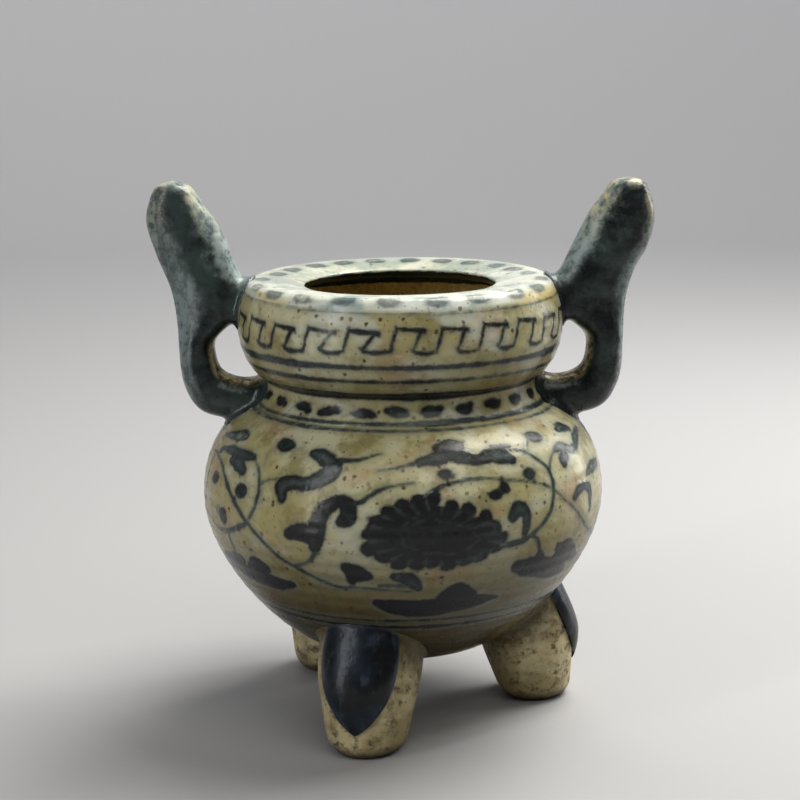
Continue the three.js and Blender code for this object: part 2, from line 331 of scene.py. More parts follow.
def fromWall(radius, height):
    # signed distance of points from the glazed wall, and its outward normal there
    steps = wall[::3]
    a, b = steps[:-1], steps[1:]
    d = b - a
    p = np.stack([radius, height], axis=1)
    t = ((p[:, None, :] - a) * d).sum(2) / (d * d).sum(1)
    q = a + np.clip(t, 0, 1)[..., None] * d
    gap = np.linalg.norm(p[:, None, :] - q, axis=2)
    nearest = gap.argmin(1)
    rows = np.arange(len(p))
    side = np.stack([d[nearest, 1], -d[nearest, 0]], axis=1)
    side /= np.linalg.norm(side, axis=1)[:, None]
    signed = gap[rows, nearest] * np.sign(((p - q[rows, nearest]) * side).sum(1))
    return signed, side


def handMade(radius, height, angle, form):
    # the slight oval and rings of hand throwing
    ring = form["throwingRing"] * np.sin(2 * math.pi * height / form["ringSpacing"] + 0.6 * np.sin(angle))
    oval = form["outOfRound"] * (0.6 * np.sin(2 * angle + 0.8) + 0.4 * np.sin(3 * angle + height / 17))
    thrown = radius + ring + oval - form["throwingRing"] - form["outOfRound"] * 0.8
    return np.where(radius > form["plainRadius"], thrown, radius)


def lipLift(height, across, form):
    # the lip leans back a little; across is +Y in mm
    share = eased(height - ledgeHeight, form["tiltFrom"], crestHeight - ledgeHeight - 1)
    return form["lipTilt"] * across * share


# Turned meshes


def turnedMesh(name, rows, form, sharpRows=()):
    # rows of (radius, height, sides); neighbours have the same sides, half or double
    vertices, faces, firsts, rowOf, angleOf = [], [], [], [], []
    total = 0
    for k, (radius, height, sides) in enumerate(rows):
        firsts.append(total)
        count = 1 if radius < 1e-6 else sides
        angle = roundTurn(count)
        grown = handMade(np.full(count, radius), np.full(count, height), angle, form)
        across = -grown * np.cos(angle)
        lifted = height + lipLift(height, across, form)
        vertices.append(np.stack([grown * np.sin(angle), across, lifted], axis=1))
        rowOf.append(np.full(count, k))
        angleOf.append(np.degrees(angle))
        total += count
    sizes = [len(v) for v in vertices]
    for k in range(len(rows) - 1):
        a, b, n, m = firsts[k], firsts[k + 1], sizes[k], sizes[k + 1]
        if n == 1:
            faces += [(a, b + (j + 1) % m, b + j) for j in range(m)]
        elif m == 1:
            faces += [(a + j, a + (j + 1) % n, b) for j in range(n)]
        elif n == m:
            faces += [(a + j, a + (j + 1) % n, b + (j + 1) % n, b + j) for j in range(n)]
        elif m == 2 * n:
            faces += [(a + j, a + (j + 1) % n, b + (2 * j + 2) % m, b + 2 * j + 1, b + 2 * j)
                      for j in range(n)]
        else:
            faces += [(a + 2 * j, a + 2 * j + 1, a + (2 * j + 2) % n, b + (j + 1) % m, b + j)
                      for j in range(m)]
    mesh = smoothMesh(name, (np.concatenate(vertices) * millimetre).tolist(), faces)
    markSharp(mesh, [(firsts[k], sizes[k]) for k in sharpRows])
    return mesh, np.concatenate(rowOf), np.concatenate(angleOf)


def markSharp(mesh, rings):
    if not rings:
        return
    ends = np.empty(len(mesh.edges) * 2, dtype=np.int32)
    mesh.edges.foreach_get("vertices", ends)
    ends = ends.reshape(-1, 2)
    sharp = np.zeros(len(mesh.edges), dtype=bool)
    for first, count in rings:
        sharp |= ((ends >= first) & (ends < first + count)).all(1)
    layer = mesh.attributes.new("sharp_edge", "BOOLEAN", "EDGE")
    layer.data.foreach_set("value", sharp)


def setField(mesh, name, values):
    layer = mesh.attributes.new(name, "FLOAT", "POINT")
    layer.data.foreach_set("value", np.asarray(values, dtype=np.float32))


def addPiece(name, mesh, material, node):
    mesh.materials.append(material)
    piece = newObject(name, mesh)
    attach(piece, "root")
    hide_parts(node)
    return piece


# Brushwork: each stroke is a list of given points (degrees round the pot, mm up the wall)

unpainted = 3.0        # what a field says away from any stroke, mm
strokeMargin = 2.5     # how far round a stroke its field is worked out, mm
leastRadius = 36       # of the painted wall, mm


def newCanvas(angle, rise, radius):
    far = np.full(len(angle), unpainted)
    return {"angle": angle, "rise": rise, "radius": radius, "tone": np.full(len(angle), 0.5),
            "cobalt": far.copy(), "vein": far.copy(), "stain": far.copy()}


def smoothPath(points, pieces=8):
    p = np.array(points, float)
    if len(p) < 3:
        t = np.linspace(0, 1, pieces + 1)[:, None]
        return p[0] * (1 - t) + p[-1] * t
    p = np.concatenate([[2 * p[0] - p[1]], p, [2 * p[-1] - p[-2]]])
    t = np.linspace(0, 1, pieces, endpoint=False)[:, None]
    runs = []
    for a, b, c, d in zip(p[:-3], p[1:-2], p[2:-1], p[3:]):
        runs.append(b + 0.5 * t * (c - a + t * (2 * a - 5 * b + 4 * c - d + t * (3 * (b - c) + d - a))))
    return np.concatenate([*runs, [p[-2]]])


def lay(canvas, near, distance, tone, layer):
    field = canvas[layer]
    closer = distance < field[near]
    spots = near[closer]
    field[spots] = distance[closer]
    if layer == "cobalt":
        canvas["tone"][spots] = tone


def nearby(canvas, middle, reachDegrees, low, high):
    away = (canvas["angle"] - middle + 180) % 360 - 180
    near = np.nonzero((np.abs(away) < reachDegrees) & (canvas["rise"] > low) & (canvas["rise"] < high))[0]
    return near, away[near]


def stroke(canvas, points, widths, tone=0.6, layer="cobalt"):
    # widths in mm, spread evenly from the start of the stroke to its end
    path = smoothPath(points)
    widths = widths if isinstance(widths, (tuple, list)) else (widths, widths)
    half = np.interp(np.linspace(0, 1, len(path)), np.linspace(0, 1, len(widths)), widths) / 2
    middle = (path[:, 0].min() + path[:, 0].max()) / 2
    margin = half.max() + strokeMargin
    reach = (path[:, 0].max() - path[:, 0].min()) / 2 + math.degrees(margin / leastRadius)
    near, away = nearby(canvas, middle, reach, path[:, 1].min() - margin, path[:, 1].max() + margin)
    if len(near) == 0:
        return
    turn = np.radians(canvas["radius"][near])[:, None]
    x = away[:, None] * turn
    ax = (path[:-1, 0] - middle) * turn
    bx = (path[1:, 0] - middle) * turn
    ay, by = path[:-1, 1], path[1:, 1]
    dx, dy = bx - ax, by - ay
    y = canvas["rise"][near][:, None]
    t = ((x - ax) * dx + (y - ay) * dy) / np.maximum(dx * dx + dy * dy, 1e-9)
    t = np.clip(t, 0, 1)
    width = half[:-1] + (half[1:] - half[:-1]) * t
    distance = (np.hypot(x - ax - t * dx, y - ay - t * dy) - width).min(1)
    lay(canvas, near, distance, tone, layer)


def dab(canvas, centre, size, tone=0.6, tilt=0.0, layer="cobalt"):
    # an oval touch of the brush, size = (width, height) in mm, tilt in degrees
    reach = max(size) / 2 + strokeMargin
    span = math.degrees(reach / leastRadius)
    near, away = nearby(canvas, centre[0], span, centre[1] - reach, centre[1] + reach)
    if len(near) == 0:
        return
    x = away * np.radians(canvas["radius"][near])
    y = canvas["rise"][near] - centre[1]
    c, s = math.cos(math.radians(tilt)), math.sin(math.radians(tilt))
    u, v = (x * c + y * s) / (size[0] / 2), (y * c - x * s) / (size[1] / 2)
    k = np.hypot(u, v)
    distance = (k - 1) * min(size) / 2
    lay(canvas, near, distance, tone, layer)


def ringLine(canvas, rise, width, tone=0.5, wander=0.25, phase=0.0, drift=0.0):
    # drift is how much the line falls from the left of the pot to its middle, in mm
    a = np.radians(canvas["angle"])
    line = rise - drift * np.sin(a) + wander * (np.sin(a + phase) + 0.4 * np.sin(3 * a + 2 * phase))
    half = width / 2 * (1 + 0.25 * np.sin(2 * a + phase) + 0.15 * np.sin(7 * a))
    distance = np.abs(canvas["rise"] - line) - half
    lay(canvas, np.arange(len(a)), distance, tone, "cobalt")


def moved(points, shift, lift=0.0):
    return [(a + shift, s + lift) for a, s in points]


def unsteady(k, seed):
    # a small repeatable slip of the hand, -1 to 1
    return math.sin(12.9898 * (k + 1) + 78.233 * seed) * 0.7 + math.sin(4.1 * k + seed) * 0.3


# The scroll on the bowl: vines, leaves and buds as (points, widths, tone)

vines = [
    ([(-80, 42.5), (-74, 43.3), (-69, 42.6), (-64, 41), (-60, 38.4), (-56, 35.6), (-52.5, 33),
      (-49.5, 30.8), (-46.5, 28.8), (-43, 26.4), (-39, 23.6), (-35, 21), (-31, 19.4), (-27, 17.6),
      (-22, 15.6), (-18, 14.6), (-13, 14.8), (-6, 14.4), (2, 13.6)],
     (0.8, 1.2, 1.7, 1.4, 1.2, 1.1, 0.5), 0.5),
    ([(-46.8, 29.5), (-45, 32), (-43.6, 34.5), (-43.2, 38), (-44.2, 41.5), (-46, 44), (-48.5, 45.4)],
     (1.5, 1.3, 1.4, 1.0, 0.7), 0.38),
    ([(-43.2, 39.4), (-41, 41), (-38, 41.8), (-36, 42)], (0.8, 0.7, 1.0), 0.3),
    ([(-44, 44.2), (-43.8, 48), (-42.6, 50)], (0.5, 0.6), 0.2),
    ([(-47, 29), (-50, 27.6), (-54, 26), (-59, 24.6), (-64, 24.2), (-69, 25.2), (-75, 26.6)],
     (1.8, 1.6, 1.5, 1.2, 0.8), 0.46),
    ([(-57.5, 24.4), (-57, 22), (-56.6, 18.6)], (0.8, 1.3), 0.42),
    ([(-23.6, 25.4), (-25, 22.8), (-27.5, 21), (-31, 20)], (1.8, 1.2, 0.9), 0.5),
    ([(5.5, 39.2), (8, 40.6), (11, 42), (15, 42.7), (22, 43.1), (30, 41.8), (36, 40.6), (41, 39.2),
      (44, 37.8), (47, 35.8), (50, 33.2), (54, 30.4), (58, 27), (62, 24), (66, 21.8), (70, 20.2),
      (77, 17.5), (84, 16)],
     (1.9, 1.2, 0.9, 0.9, 0.8, 1.0, 1.2, 1.1, 0.9), 0.4),
    ([(25, 25.4), (29, 25.4), (33, 25.6), (36, 26.6), (40, 28.8), (43, 31.4), (44.5, 34), (45.6, 37.5),
      (45.8, 41), (44.5, 43.6), (42.5, 45.6), (40.6, 47.5), (38.5, 48.8), (36, 49.4)],
     (2.2, 1.7, 1.5, 1.3, 1.3, 1.0, 0.7), 0.46),
    ([(40.6, 47.2), (41.2, 49.6), (43, 51.2)], (0.7, 0.8), 0.32),
    ([(45.6, 41.5), (47.2, 43.8), (50, 45.8), (53, 46.8)], (0.7, 0.9), 0.36),
    ([(36.4, 26.4), (38.4, 25.4), (39.6, 23), (40.4, 20.4)], (1.3, 1.1), 0.56),
    # short stems of the buds
    ([(-53.5, 34.4), (-51, 36.4)], (0.8, 0.7), 0.45),
    ([(12.2, 44), (12.6, 41.9)], (1.0, 0.8), 0.6),
    ([(28.2, 41), (28.4, 42.6)], (1.4, 0.9), 0.55),
    ([(38.6, 41), (39.4, 39.8)], (1.2, 0.9), 0.4),
]

leaves = [
    # left shoulder
    ([(-34.6, 37.4), (-35, 40.2), (-32, 41.6), (-28, 41.6), (-24, 43), (-20.6, 45.2), (-19, 47.8)],
     (3.4, 4.8, 4.4, 3.8, 4.6, 5.2, 3.2), 0.58),
    ([(-28, 50), (-25, 49.6), (-22, 48)], (2.6, 4.4, 4.6), 0.5),
    ([(-18.8, 48.5), (-14, 48.8), (-10, 49.8), (-6, 51)], (2.0, 1.4, 1.0, 0.4), 0.4),
    # lower left, a leaf that curls over
    ([(-31.8, 28.4), (-28, 29.4), (-24.5, 28.6)], (3.0, 5.2, 5.2), 0.72),
    ([(-24, 25.8), (-23.6, 29), (-22.6, 33), (-20.4, 36.4), (-17, 38), (-14.8, 36.8), (-14.6, 34.2),
      (-16.6, 32.8)], (3.4, 5.6, 4.8, 4.2, 3.8, 5.0, 5.0, 2.8), 0.66),
    ([(-13, 37.6), (-11, 38.2), (-9, 39.6), (-5, 41.6), (0, 42.8), (3, 43.1)],
     (1.8, 1.5, 1.2, 0.9, 0.4), 0.36),
    # far left shoulder
    ([(-76, 48.4), (-68, 49.6), (-63, 50.6), (-59.6, 50.8)], (1.2, 3.2, 4.4, 2.8), 0.36),
    ([(-70, 45.4), (-62, 46), (-56, 45.8), (-50, 46), (-48.2, 45.6)], (1.4, 3.2, 3.6, 2.8, 1.2), 0.42),
    ([(-60, 43.8), (-55.5, 43.4), (-52, 42)], (2.6, 4.6, 3.2), 0.42),
    # under the belly on the left
    ([(-57, 11.6), (-52, 12.4), (-46, 13), (-40, 12.4), (-34, 13.2)], (3.0, 5.2, 6.2, 4.8, 2.2), 0.78),
    ([(-50, 15.4), (-46.5, 16.8), (-43, 16.8)], (3.6, 6.0, 3.6), 0.76),
    ([(-62, 15), (-57, 13.6), (-51, 12.8)], (4.2, 5.2, 4.8), 0.78),
    ([(-54, 17.2), (-60, 15.8), (-68, 13.2), (-78, 10.4)], (3.0, 5.0, 5.4, 4.0), 0.7),
    # small leaf on the left vine
    ([(-15.4, 20.8), (-13, 19.2), (-9.2, 18.4)], (3.6, 5.8, 2.0), 0.88),
    ([(-14, 19.6), (-14.4, 16.6)], (4.8, 2.6), 0.88),
    # right shoulder
    ([(-7, 46.2), (-4, 46.6), (0, 47.3), (4.5, 48.2)], (0.3, 0.8, 0.9, 1.4), 0.34),
    ([(4.8, 48.4), (8, 48.8), (11.5, 49.6)], (2.4, 3.6, 4.8), 0.56),
    ([(11.5, 51.8), (15, 52.8), (18, 52.4)], (3.8, 4.8, 3.2), 0.66),
    ([(12, 50.4), (17, 49.4), (22, 48), (26, 48.4)], (3.8, 4.6, 3.4, 3.8), 0.62),
    ([(26, 49), (30, 48.6), (33.4, 46.8)], (4.0, 5.6, 3.4), 0.58),
    ([(29, 50.6), (34.8, 50.8)], (2.6, 0.8), 0.4),
    # far right shoulder
    ([(52, 46.6), (56, 47), (60, 45.4), (64, 45.6), (68, 47.6), (76, 49.2)],
     (1.6, 3.0, 2.8, 2.6, 3.2, 1.0), 0.44),
    ([(53.4, 43.2), (55.6, 44.6)], (3.8, 3.4), 0.5),
    ([(60, 51.4), (64, 51.8), (68, 50.2)], (2.0, 3.8, 2.2), 0.46),
    # comma and blot on the right
    ([(54.4, 33), (57, 34.6), (60.5, 35), (64, 33.6), (64.4, 31), (63.6, 28)],
     (1.8, 3.2, 2.8, 3.2, 2.6, 1.6), 0.48),
    ([(65, 37.8), (70, 38.4), (78, 38)], (2.2, 3.8, 2.4), 0.4),
    # comma inside the loop
    ([(30.2, 32.4), (32, 34), (34.2, 33), (34.6, 30.4), (34, 27.8)], (3.4, 4.6, 3.4, 3.0, 2.4), 0.54),
    # lower right
    ([(33, 18.2), (37, 17.4), (42, 16.4), (47, 14.6), (52, 13), (56, 12)],
     (4.0, 6.4, 6.8, 6.6, 5.2, 3.2), 0.86),
    ([(48.5, 20.6), (52.5, 19.6), (56, 17.4), (60, 15)], (3.4, 6.0, 5.0, 3.4), 0.84),
    ([(46, 16), (50, 16.6), (54, 17)], (5.2, 6.4, 5.0), 0.86),
    ([(40.2, 21), (41, 18.6)], (2.0, 4.6), 0.85),
    ([(60, 14.8), (66, 12.6), (75, 11)], (3.4, 2.6, 1.2), 0.66),
    # under the bloom
    ([(-8, 9.6), (-4, 8.4), (2, 7.4), (8, 7.4), (14, 8.2)], (2.8, 5.4, 6.6, 6.8, 6.6), 0.88),
    ([(12, 11), (15.5, 12.4), (19, 11.2)], (5.0, 6.6, 4.8), 0.9),
    ([(16, 8.2), (21, 8.4), (26, 8.8), (29.5, 8.6)], (6.0, 5.4, 2.8, 1.0), 0.86),
    # loose washes between the bloom and that leaf
    ([(-2.5, 18.6), (1.5, 17.6), (4, 14.6)], (2.6, 4.8, 2.2), 0.6),
    ([(-7, 15.8), (0, 15.6)], (1.0, 1.6), 0.34),
]

buds = [
    # (place, (width, height), tone, tilt)
    ((-39, 51.2), (6.4, 4.6), 0.56, -6),
    ((-50.6, 36.8), (5.4, 4.2), 0.5, 10),
    ((-67, 37.3), (5.4, 3.6), 0.52, 12),
    ((-59.4, 28.6), (5.0, 4.6), 0.58, -20),
    ((-62.4, 29.4), (3.4, 3.2), 0.2, 0),
    ((-70, 44.6), (3.0, 2.6), 0.4, 0),
    ((-53.5, 34), (2.4, 1.8), 0.55, -30),
    ((12, 44.8), (4.2, 3.2), 0.86, 0),
    ((13.8, 44.2), (2.0, 1.6), 0.8, 20),
    ((12.6, 42.2), (1.9, 1.5), 0.62, 0),
    ((25.8, 38.4), (4.6, 3.0), 0.6, 8),
    ((28.6, 39.8), (3.2, 3.4), 0.6, 0),
    ((37.8, 42.3), (4.6, 3.6), 0.42, 0),
    ((46.4, 51.8), (6.2, 3.7), 0.48, -8),
]

# A full bloom seen from the side: petals round its edge, and a dark heart

bloomPetals = [
    # (place, (width, height)) clockwise from the left
    ((-9.2, 30.4), (4.6, 3.6)), ((-6.6, 33.8), (5.2, 3.8)), ((-3.2, 35.4), (4.8, 3.8)),
    ((0.4, 36.8), (4.6, 4.2)), ((4.2, 37.9), (4.8, 4.4)), ((8.2, 38.1), (4.6, 4.6)),
    ((12.6, 35.9), (5.0, 4.2)), ((17.2, 35.1), (5.4, 4.2)), ((21.6, 32.8), (5.4, 4.0)),
    ((24.6, 30.2), (5.2, 4.2)), ((27, 27.4), (6.0, 3.8)), ((25.2, 25.2), (5.2, 3.6)),
    ((21.2, 22.8), (5.2, 4.2)), ((16.8, 22.1), (4.8, 4.4)), ((12.2, 21.6), (5.0, 4.4)),
    ((7.8, 22.4), (4.6, 4.6)), ((3.4, 22.4), (4.8, 4.6)), ((-0.8, 22.9), (4.8, 4.4)),
    ((-5, 24.4), (5.4, 4.0)), ((-8.2, 26.6), (5.0, 4.0)),
]
bloomHeart = [
    ([(-6, 28), (2, 25.8), (12, 25.2), (22, 27)], 7.4),
    ([(-6, 31), (4, 31), (14, 30.6), (22, 29.6)], 7.4),
    ([(-2, 33.8), (6, 35), (15, 33)], 5.6),
]
bloomMiddle = (8.5, 29.5)


def towards(start, end, share):
    return tuple(a + (b - a) * share for a, b in zip(start, end))


def paintBloom(canvas, shift, lift):
    for points, width in bloomHeart:
        stroke(canvas, moved(points, shift, lift), width, 0.88)
    for k, (place, size) in enumerate(bloomPetals):
        slip, grown = unsteady(k, 13), 1 + 0.26 * unsteady(k, 16)
        outward = [(a - b) * 0.08 * slip for a, b in zip(place, bloomMiddle)]
        petal = (place[0] + outward[0] + shift, place[1] + outward[1] + lift)
        dab(canvas, petal, (size[0] * grown, size[1] / grown), 0.84 + 0.14 * slip, 24 * unsteady(k, 14))
        # a faint parting between two petals
        ahead = bloomPetals[(k + 1) % len(bloomPetals)][0]
        start = ((place[0] + ahead[0]) / 2, (place[1] + ahead[1]) / 2)
        end = towards(start, bloomMiddle, 0.24 + 0.14 * unsteady(k, 15))
        stroke(canvas, moved([start, end], shift, lift), (1.1, 0.1), layer="vein")
        # and the rim of an inner one, now and then left out
        if k % 4:
            inner = [towards(spot, bloomMiddle, 0.42 + 0.1 * slip) for spot in (place, ahead)]
            stroke(canvas, moved(inner, shift, lift), (0.1, 0.5, 0.1), layer="vein")


def paintScroll(canvas, shift, lift):
    for points, widths, tone in vines:
        stroke(canvas, moved(points, shift, lift), widths, tone)
    for points, widths, tone in leaves:
        stroke(canvas, moved(points, shift, lift), widths, tone + 0.12)
    for place, size, tone, tilt in buds:
        dab(canvas, (place[0] + shift, place[1] + lift), size, tone + 0.15, tilt)
    paintBloom(canvas, shift, lift)
    for points, widths, tone in leaves:
        # a paler wash is left along the middle of each broad, light leaf
        if tone < 0.6 and max(widths) > 3:
            stroke(canvas, moved(points, shift, lift), tuple(max(w - 3.2, 0.1) for w in widths), layer="vein")


bowlLines = [
    # (height up the wall, width, tone)
    (2.3, 0.7, 0.8),
    (-0.6, 1.05, 0.84),
    (58.4, 1.2, 0.36),
]


def paintBowl(canvas):
    for place, (rise, width, tone) in enumerate(bowlLines):
        ringLine(canvas, rise, width, tone, 0.25, 1.0 + place)
    paintScroll(canvas, 0, 0)
    paintScroll(canvas, 180, 0.5)
    for side in (90, 270):   # tendrils under the ears, between the two scrolls
        stroke(canvas, moved([(-14, 17.5), (-6, 16.2), (3, 18), (9, 23), (14, 32), (15, 42)], side),
               (1.1, 1.2, 1.1, 0.9), 0.42)
        stroke(canvas, moved([(3, 18), (5, 13), (11, 10.5), (16, 12)], side), (2.6, 4.8, 4.6, 1.6), 0.7)
        stroke(canvas, moved([(-7, 33), (-2, 36), (3, 34), (4, 29)], side), (1.6, 3.6, 3.4, 1.4), 0.5)
        dab(canvas, (side - 3, 46), (5.4, 4.2), 0.52)
        dab(canvas, (side + 6, 50), (4.6, 3.8), 0.46)


# The collar: lines, neck dots, key fret and lip dashes, heights from the seam

collarLines = [
    # (height, width, tone, drift)
    (0.9, 1.5, 0.5, 0.0),
    # the broad dark band under the ledge: a painted line and painted shadow of the ledge
    (8.9, 2.9, 0.86, 0.0),
    (15.0, 1.2, 0.74, 0.0),
    (19.2, 1.9, 0.6, 0.0),
    (33.6, 0.6, 0.34, 0.8),
]

neckDots = {"count": 26, "first": -2.0, "rise": 4.2, "size": (5.8, 3.2), "tone": 0.74, "radius": 38}
keyFret = {"count": 24, "first": -1.8, "foot": 23.5, "head": 29.2, "width": 1.15, "tone": 0.68}
lipDashes = {"count": 22, "first": -4.4, "rise": 36.8, "backRise": 44.0, "size": (6.4, 3.0), "backTall": 4.8,
             "tone": 0.46, "radius": 41}


def fromFront(angle):
    return abs((angle + 180) % 360 - 180)


def around(setup, slip, seed):
    # where each repeat starts, a little off its even place, and at the end the first, a full turn on
    count = setup["count"]
    return [setup["first"] + k * 360 / count + slip * unsteady(k % count, seed) for k in range(count + 1)]


def paintNeckDots(canvas, setup):
    wide, tall = setup["size"]
    for k, angle in enumerate(around(setup, 0.9, 1)[:-1]):
        rise = setup["rise"] + 0.5 * unsteady(k, 2)
        tone = setup["tone"] + 0.2 * unsteady(k, 4)
        width = wide * (1 + 0.22 * unsteady(k, 3))
        dab(canvas, (angle, rise), (width, tall * (1 + 0.15 * unsteady(k, 16))), tone, 12 * unsteady(k, 17))
        aside = math.degrees(width / setup["radius"]) * 0.36 * (1 if k % 3 else -1)
        dab(canvas, (angle + aside, rise + 1.0 * unsteady(k, 18)), (width * 0.5, tall * 0.7), tone + 0.08)
        dab(canvas, (angle - aside, rise + 0.9 * unsteady(k, 24)), (width * 0.4, tall * 0.55), tone - 0.1)


def paintKeyFret(canvas, setup):
    # each key: a bar above, a slanting leg down from it, a bar below and a leg up to the next
    foot, head, width, tone = setup["foot"], setup["head"], setup["width"], setup["tone"]
    starts = around(setup, 0.6, 5)
    for k, (start, nextStart) in enumerate(zip(starts, starts[1:])):
        high = head + 0.45 * unsteady(k, 7)
        low = foot - 0.9 * float(eased(fromFront(start), 0, 50)) + 0.4 * unsteady(k, 6)
        nextHigh = head + 0.45 * unsteady((k + 1) % setup["count"], 7)
        knee = start + 8.4 + 0.7 * unsteady(k, 19)
        ankle = start + 5.0 + 0.9 * unsteady(k, 20)
        heel = nextStart - 2.0 + 0.5 * unsteady(k, 21)
        wide = width * (1 + 0.15 * unsteady(k, 8))
        shade = tone + 0.1 * unsteady(k, 22)
        bars = [
            ([(start, high + 0.5), (start + 0.6, high - 0.1)], (wide * 0.8, wide)),
            ([(start + 0.3, high), (start + 4.2, high - 0.3), (knee + 0.9, high - 0.7)],
             (wide, wide * 1.25, wide * 1.4)),
            ([(knee + 0.9, high - 0.7), (knee + 1.5, high - 1.5)], (wide * 1.1, wide * 0.5)),
            ([(knee, high - 0.7), (ankle, low + 0.5)], (wide * 1.1, wide * 0.9)),
            ([(ankle - 1.0, low + 0.9), (ankle + 0.6, low), (ankle + 3.6, low - 0.4), (heel, low)],
             (wide * 0.6, wide * 1.2, wide * 1.2, wide)),
            ([(heel, low), (nextStart + 0.3, nextHigh + 0.3)], (wide, wide * 0.8)),
        ]
        for points, widths in bars:
            stroke(canvas, points, widths, shade)


def paintLipDashes(canvas, setup):
    # at the back the dashes lie further in, on the flat of the lip, and are longer
    for k, angle in enumerate(around(setup, 1.1, 9)[:-1]):
        back = float(eased(fromFront(angle), 58, 108))
        rise = setup["rise"] + (setup["backRise"] - setup["rise"]) * back + 0.3 * unsteady(k, 10)
        wide = setup["size"][0] * (1 + 0.12 * unsteady(k, 11))
        tall = setup["size"][1] + (setup["backTall"] - setup["size"][1]) * back
        tone = setup["tone"] + 0.1 * unsteady(k, 12) - 0.08 * back
        dab(canvas, (angle, rise), (wide, tall), tone, 5 * unsteady(k, 23))
        aside = math.degrees(wide / setup["radius"]) * 0.28 * (1 if k % 2 else -1)
        dab(canvas, (angle + aside, rise + 0.15 * tall), (wide * 0.5, tall * 0.8), tone + 0.06)


lipStains = [
    # iron that ran yellow on the lip, as (points, widths)
    ([(44, 35.4), (56, 34.8), (68, 34.4), (84, 34)], (0.6, 2.8, 3.4, 1.6)),
    ([(-66, 36), (-54, 35), (-44, 35)], (0.6, 1.6, 0.4)),
    ([(150, 36), (170, 35.4), (186, 35.6)], (0.6, 2.4, 0.8)),
]


def paintCollar(canvas):
    for place, (rise, width, tone, drift) in enumerate(collarLines):
        ringLine(canvas, rise, width, tone, 0.18, 0.5 + 1.3 * place, drift)
    paintNeckDots(canvas, neckDots)
    paintKeyFret(canvas, keyFret)
    paintLipDashes(canvas, lipDashes)
    for points, widths in lipStains:
        stroke(canvas, points, widths, layer="stain")


# Glaze over painted slip

potGlaze = {
    "pale": "cac8aa",
    "buff": "afa77a",
    "olive": "857c4c",
    "cloud": "c9cbbd",
    "blush": "b68a6e",
    "thin": "4d442a",         # the glaze low on the bowl, thinner there, and darker too as painted shade
    # painted shade, laid over walls that face down
    "underside": "9a9070",
    "milkAndHighlight": "eef2e8",         # thick glaze that pooled on the lip, and on its front also a painted highlight
    "milkBlue": "a2b5b3",     # where it pooled over the painting
    "rust": "dcc472",
    "speck": "43291a",
    "washBlue": "6c7976",
    "midBlue": "394547",
    "darkBlue": "1e2128",
    # the bare clay inside, painted paler than it is: painted light inside the pot
    "bareClayAndLight": "eedba4",
    "burntClayAndLight": "cab67e",
    "edgeGreen": "1a2822",
    "gloss": 0.24,            # mean roughness
    "ior": 1.41,
    "ironSpecks": (3.0, 0.6, 0.6),    # spacing, radius, share
    "ironDust": (1.4, 0.28, 0.46),
    "waveDepth": 0.12,        # bumps, mm
    "paintDepth": 0.05,
    "clayDepth": 0.35,
}


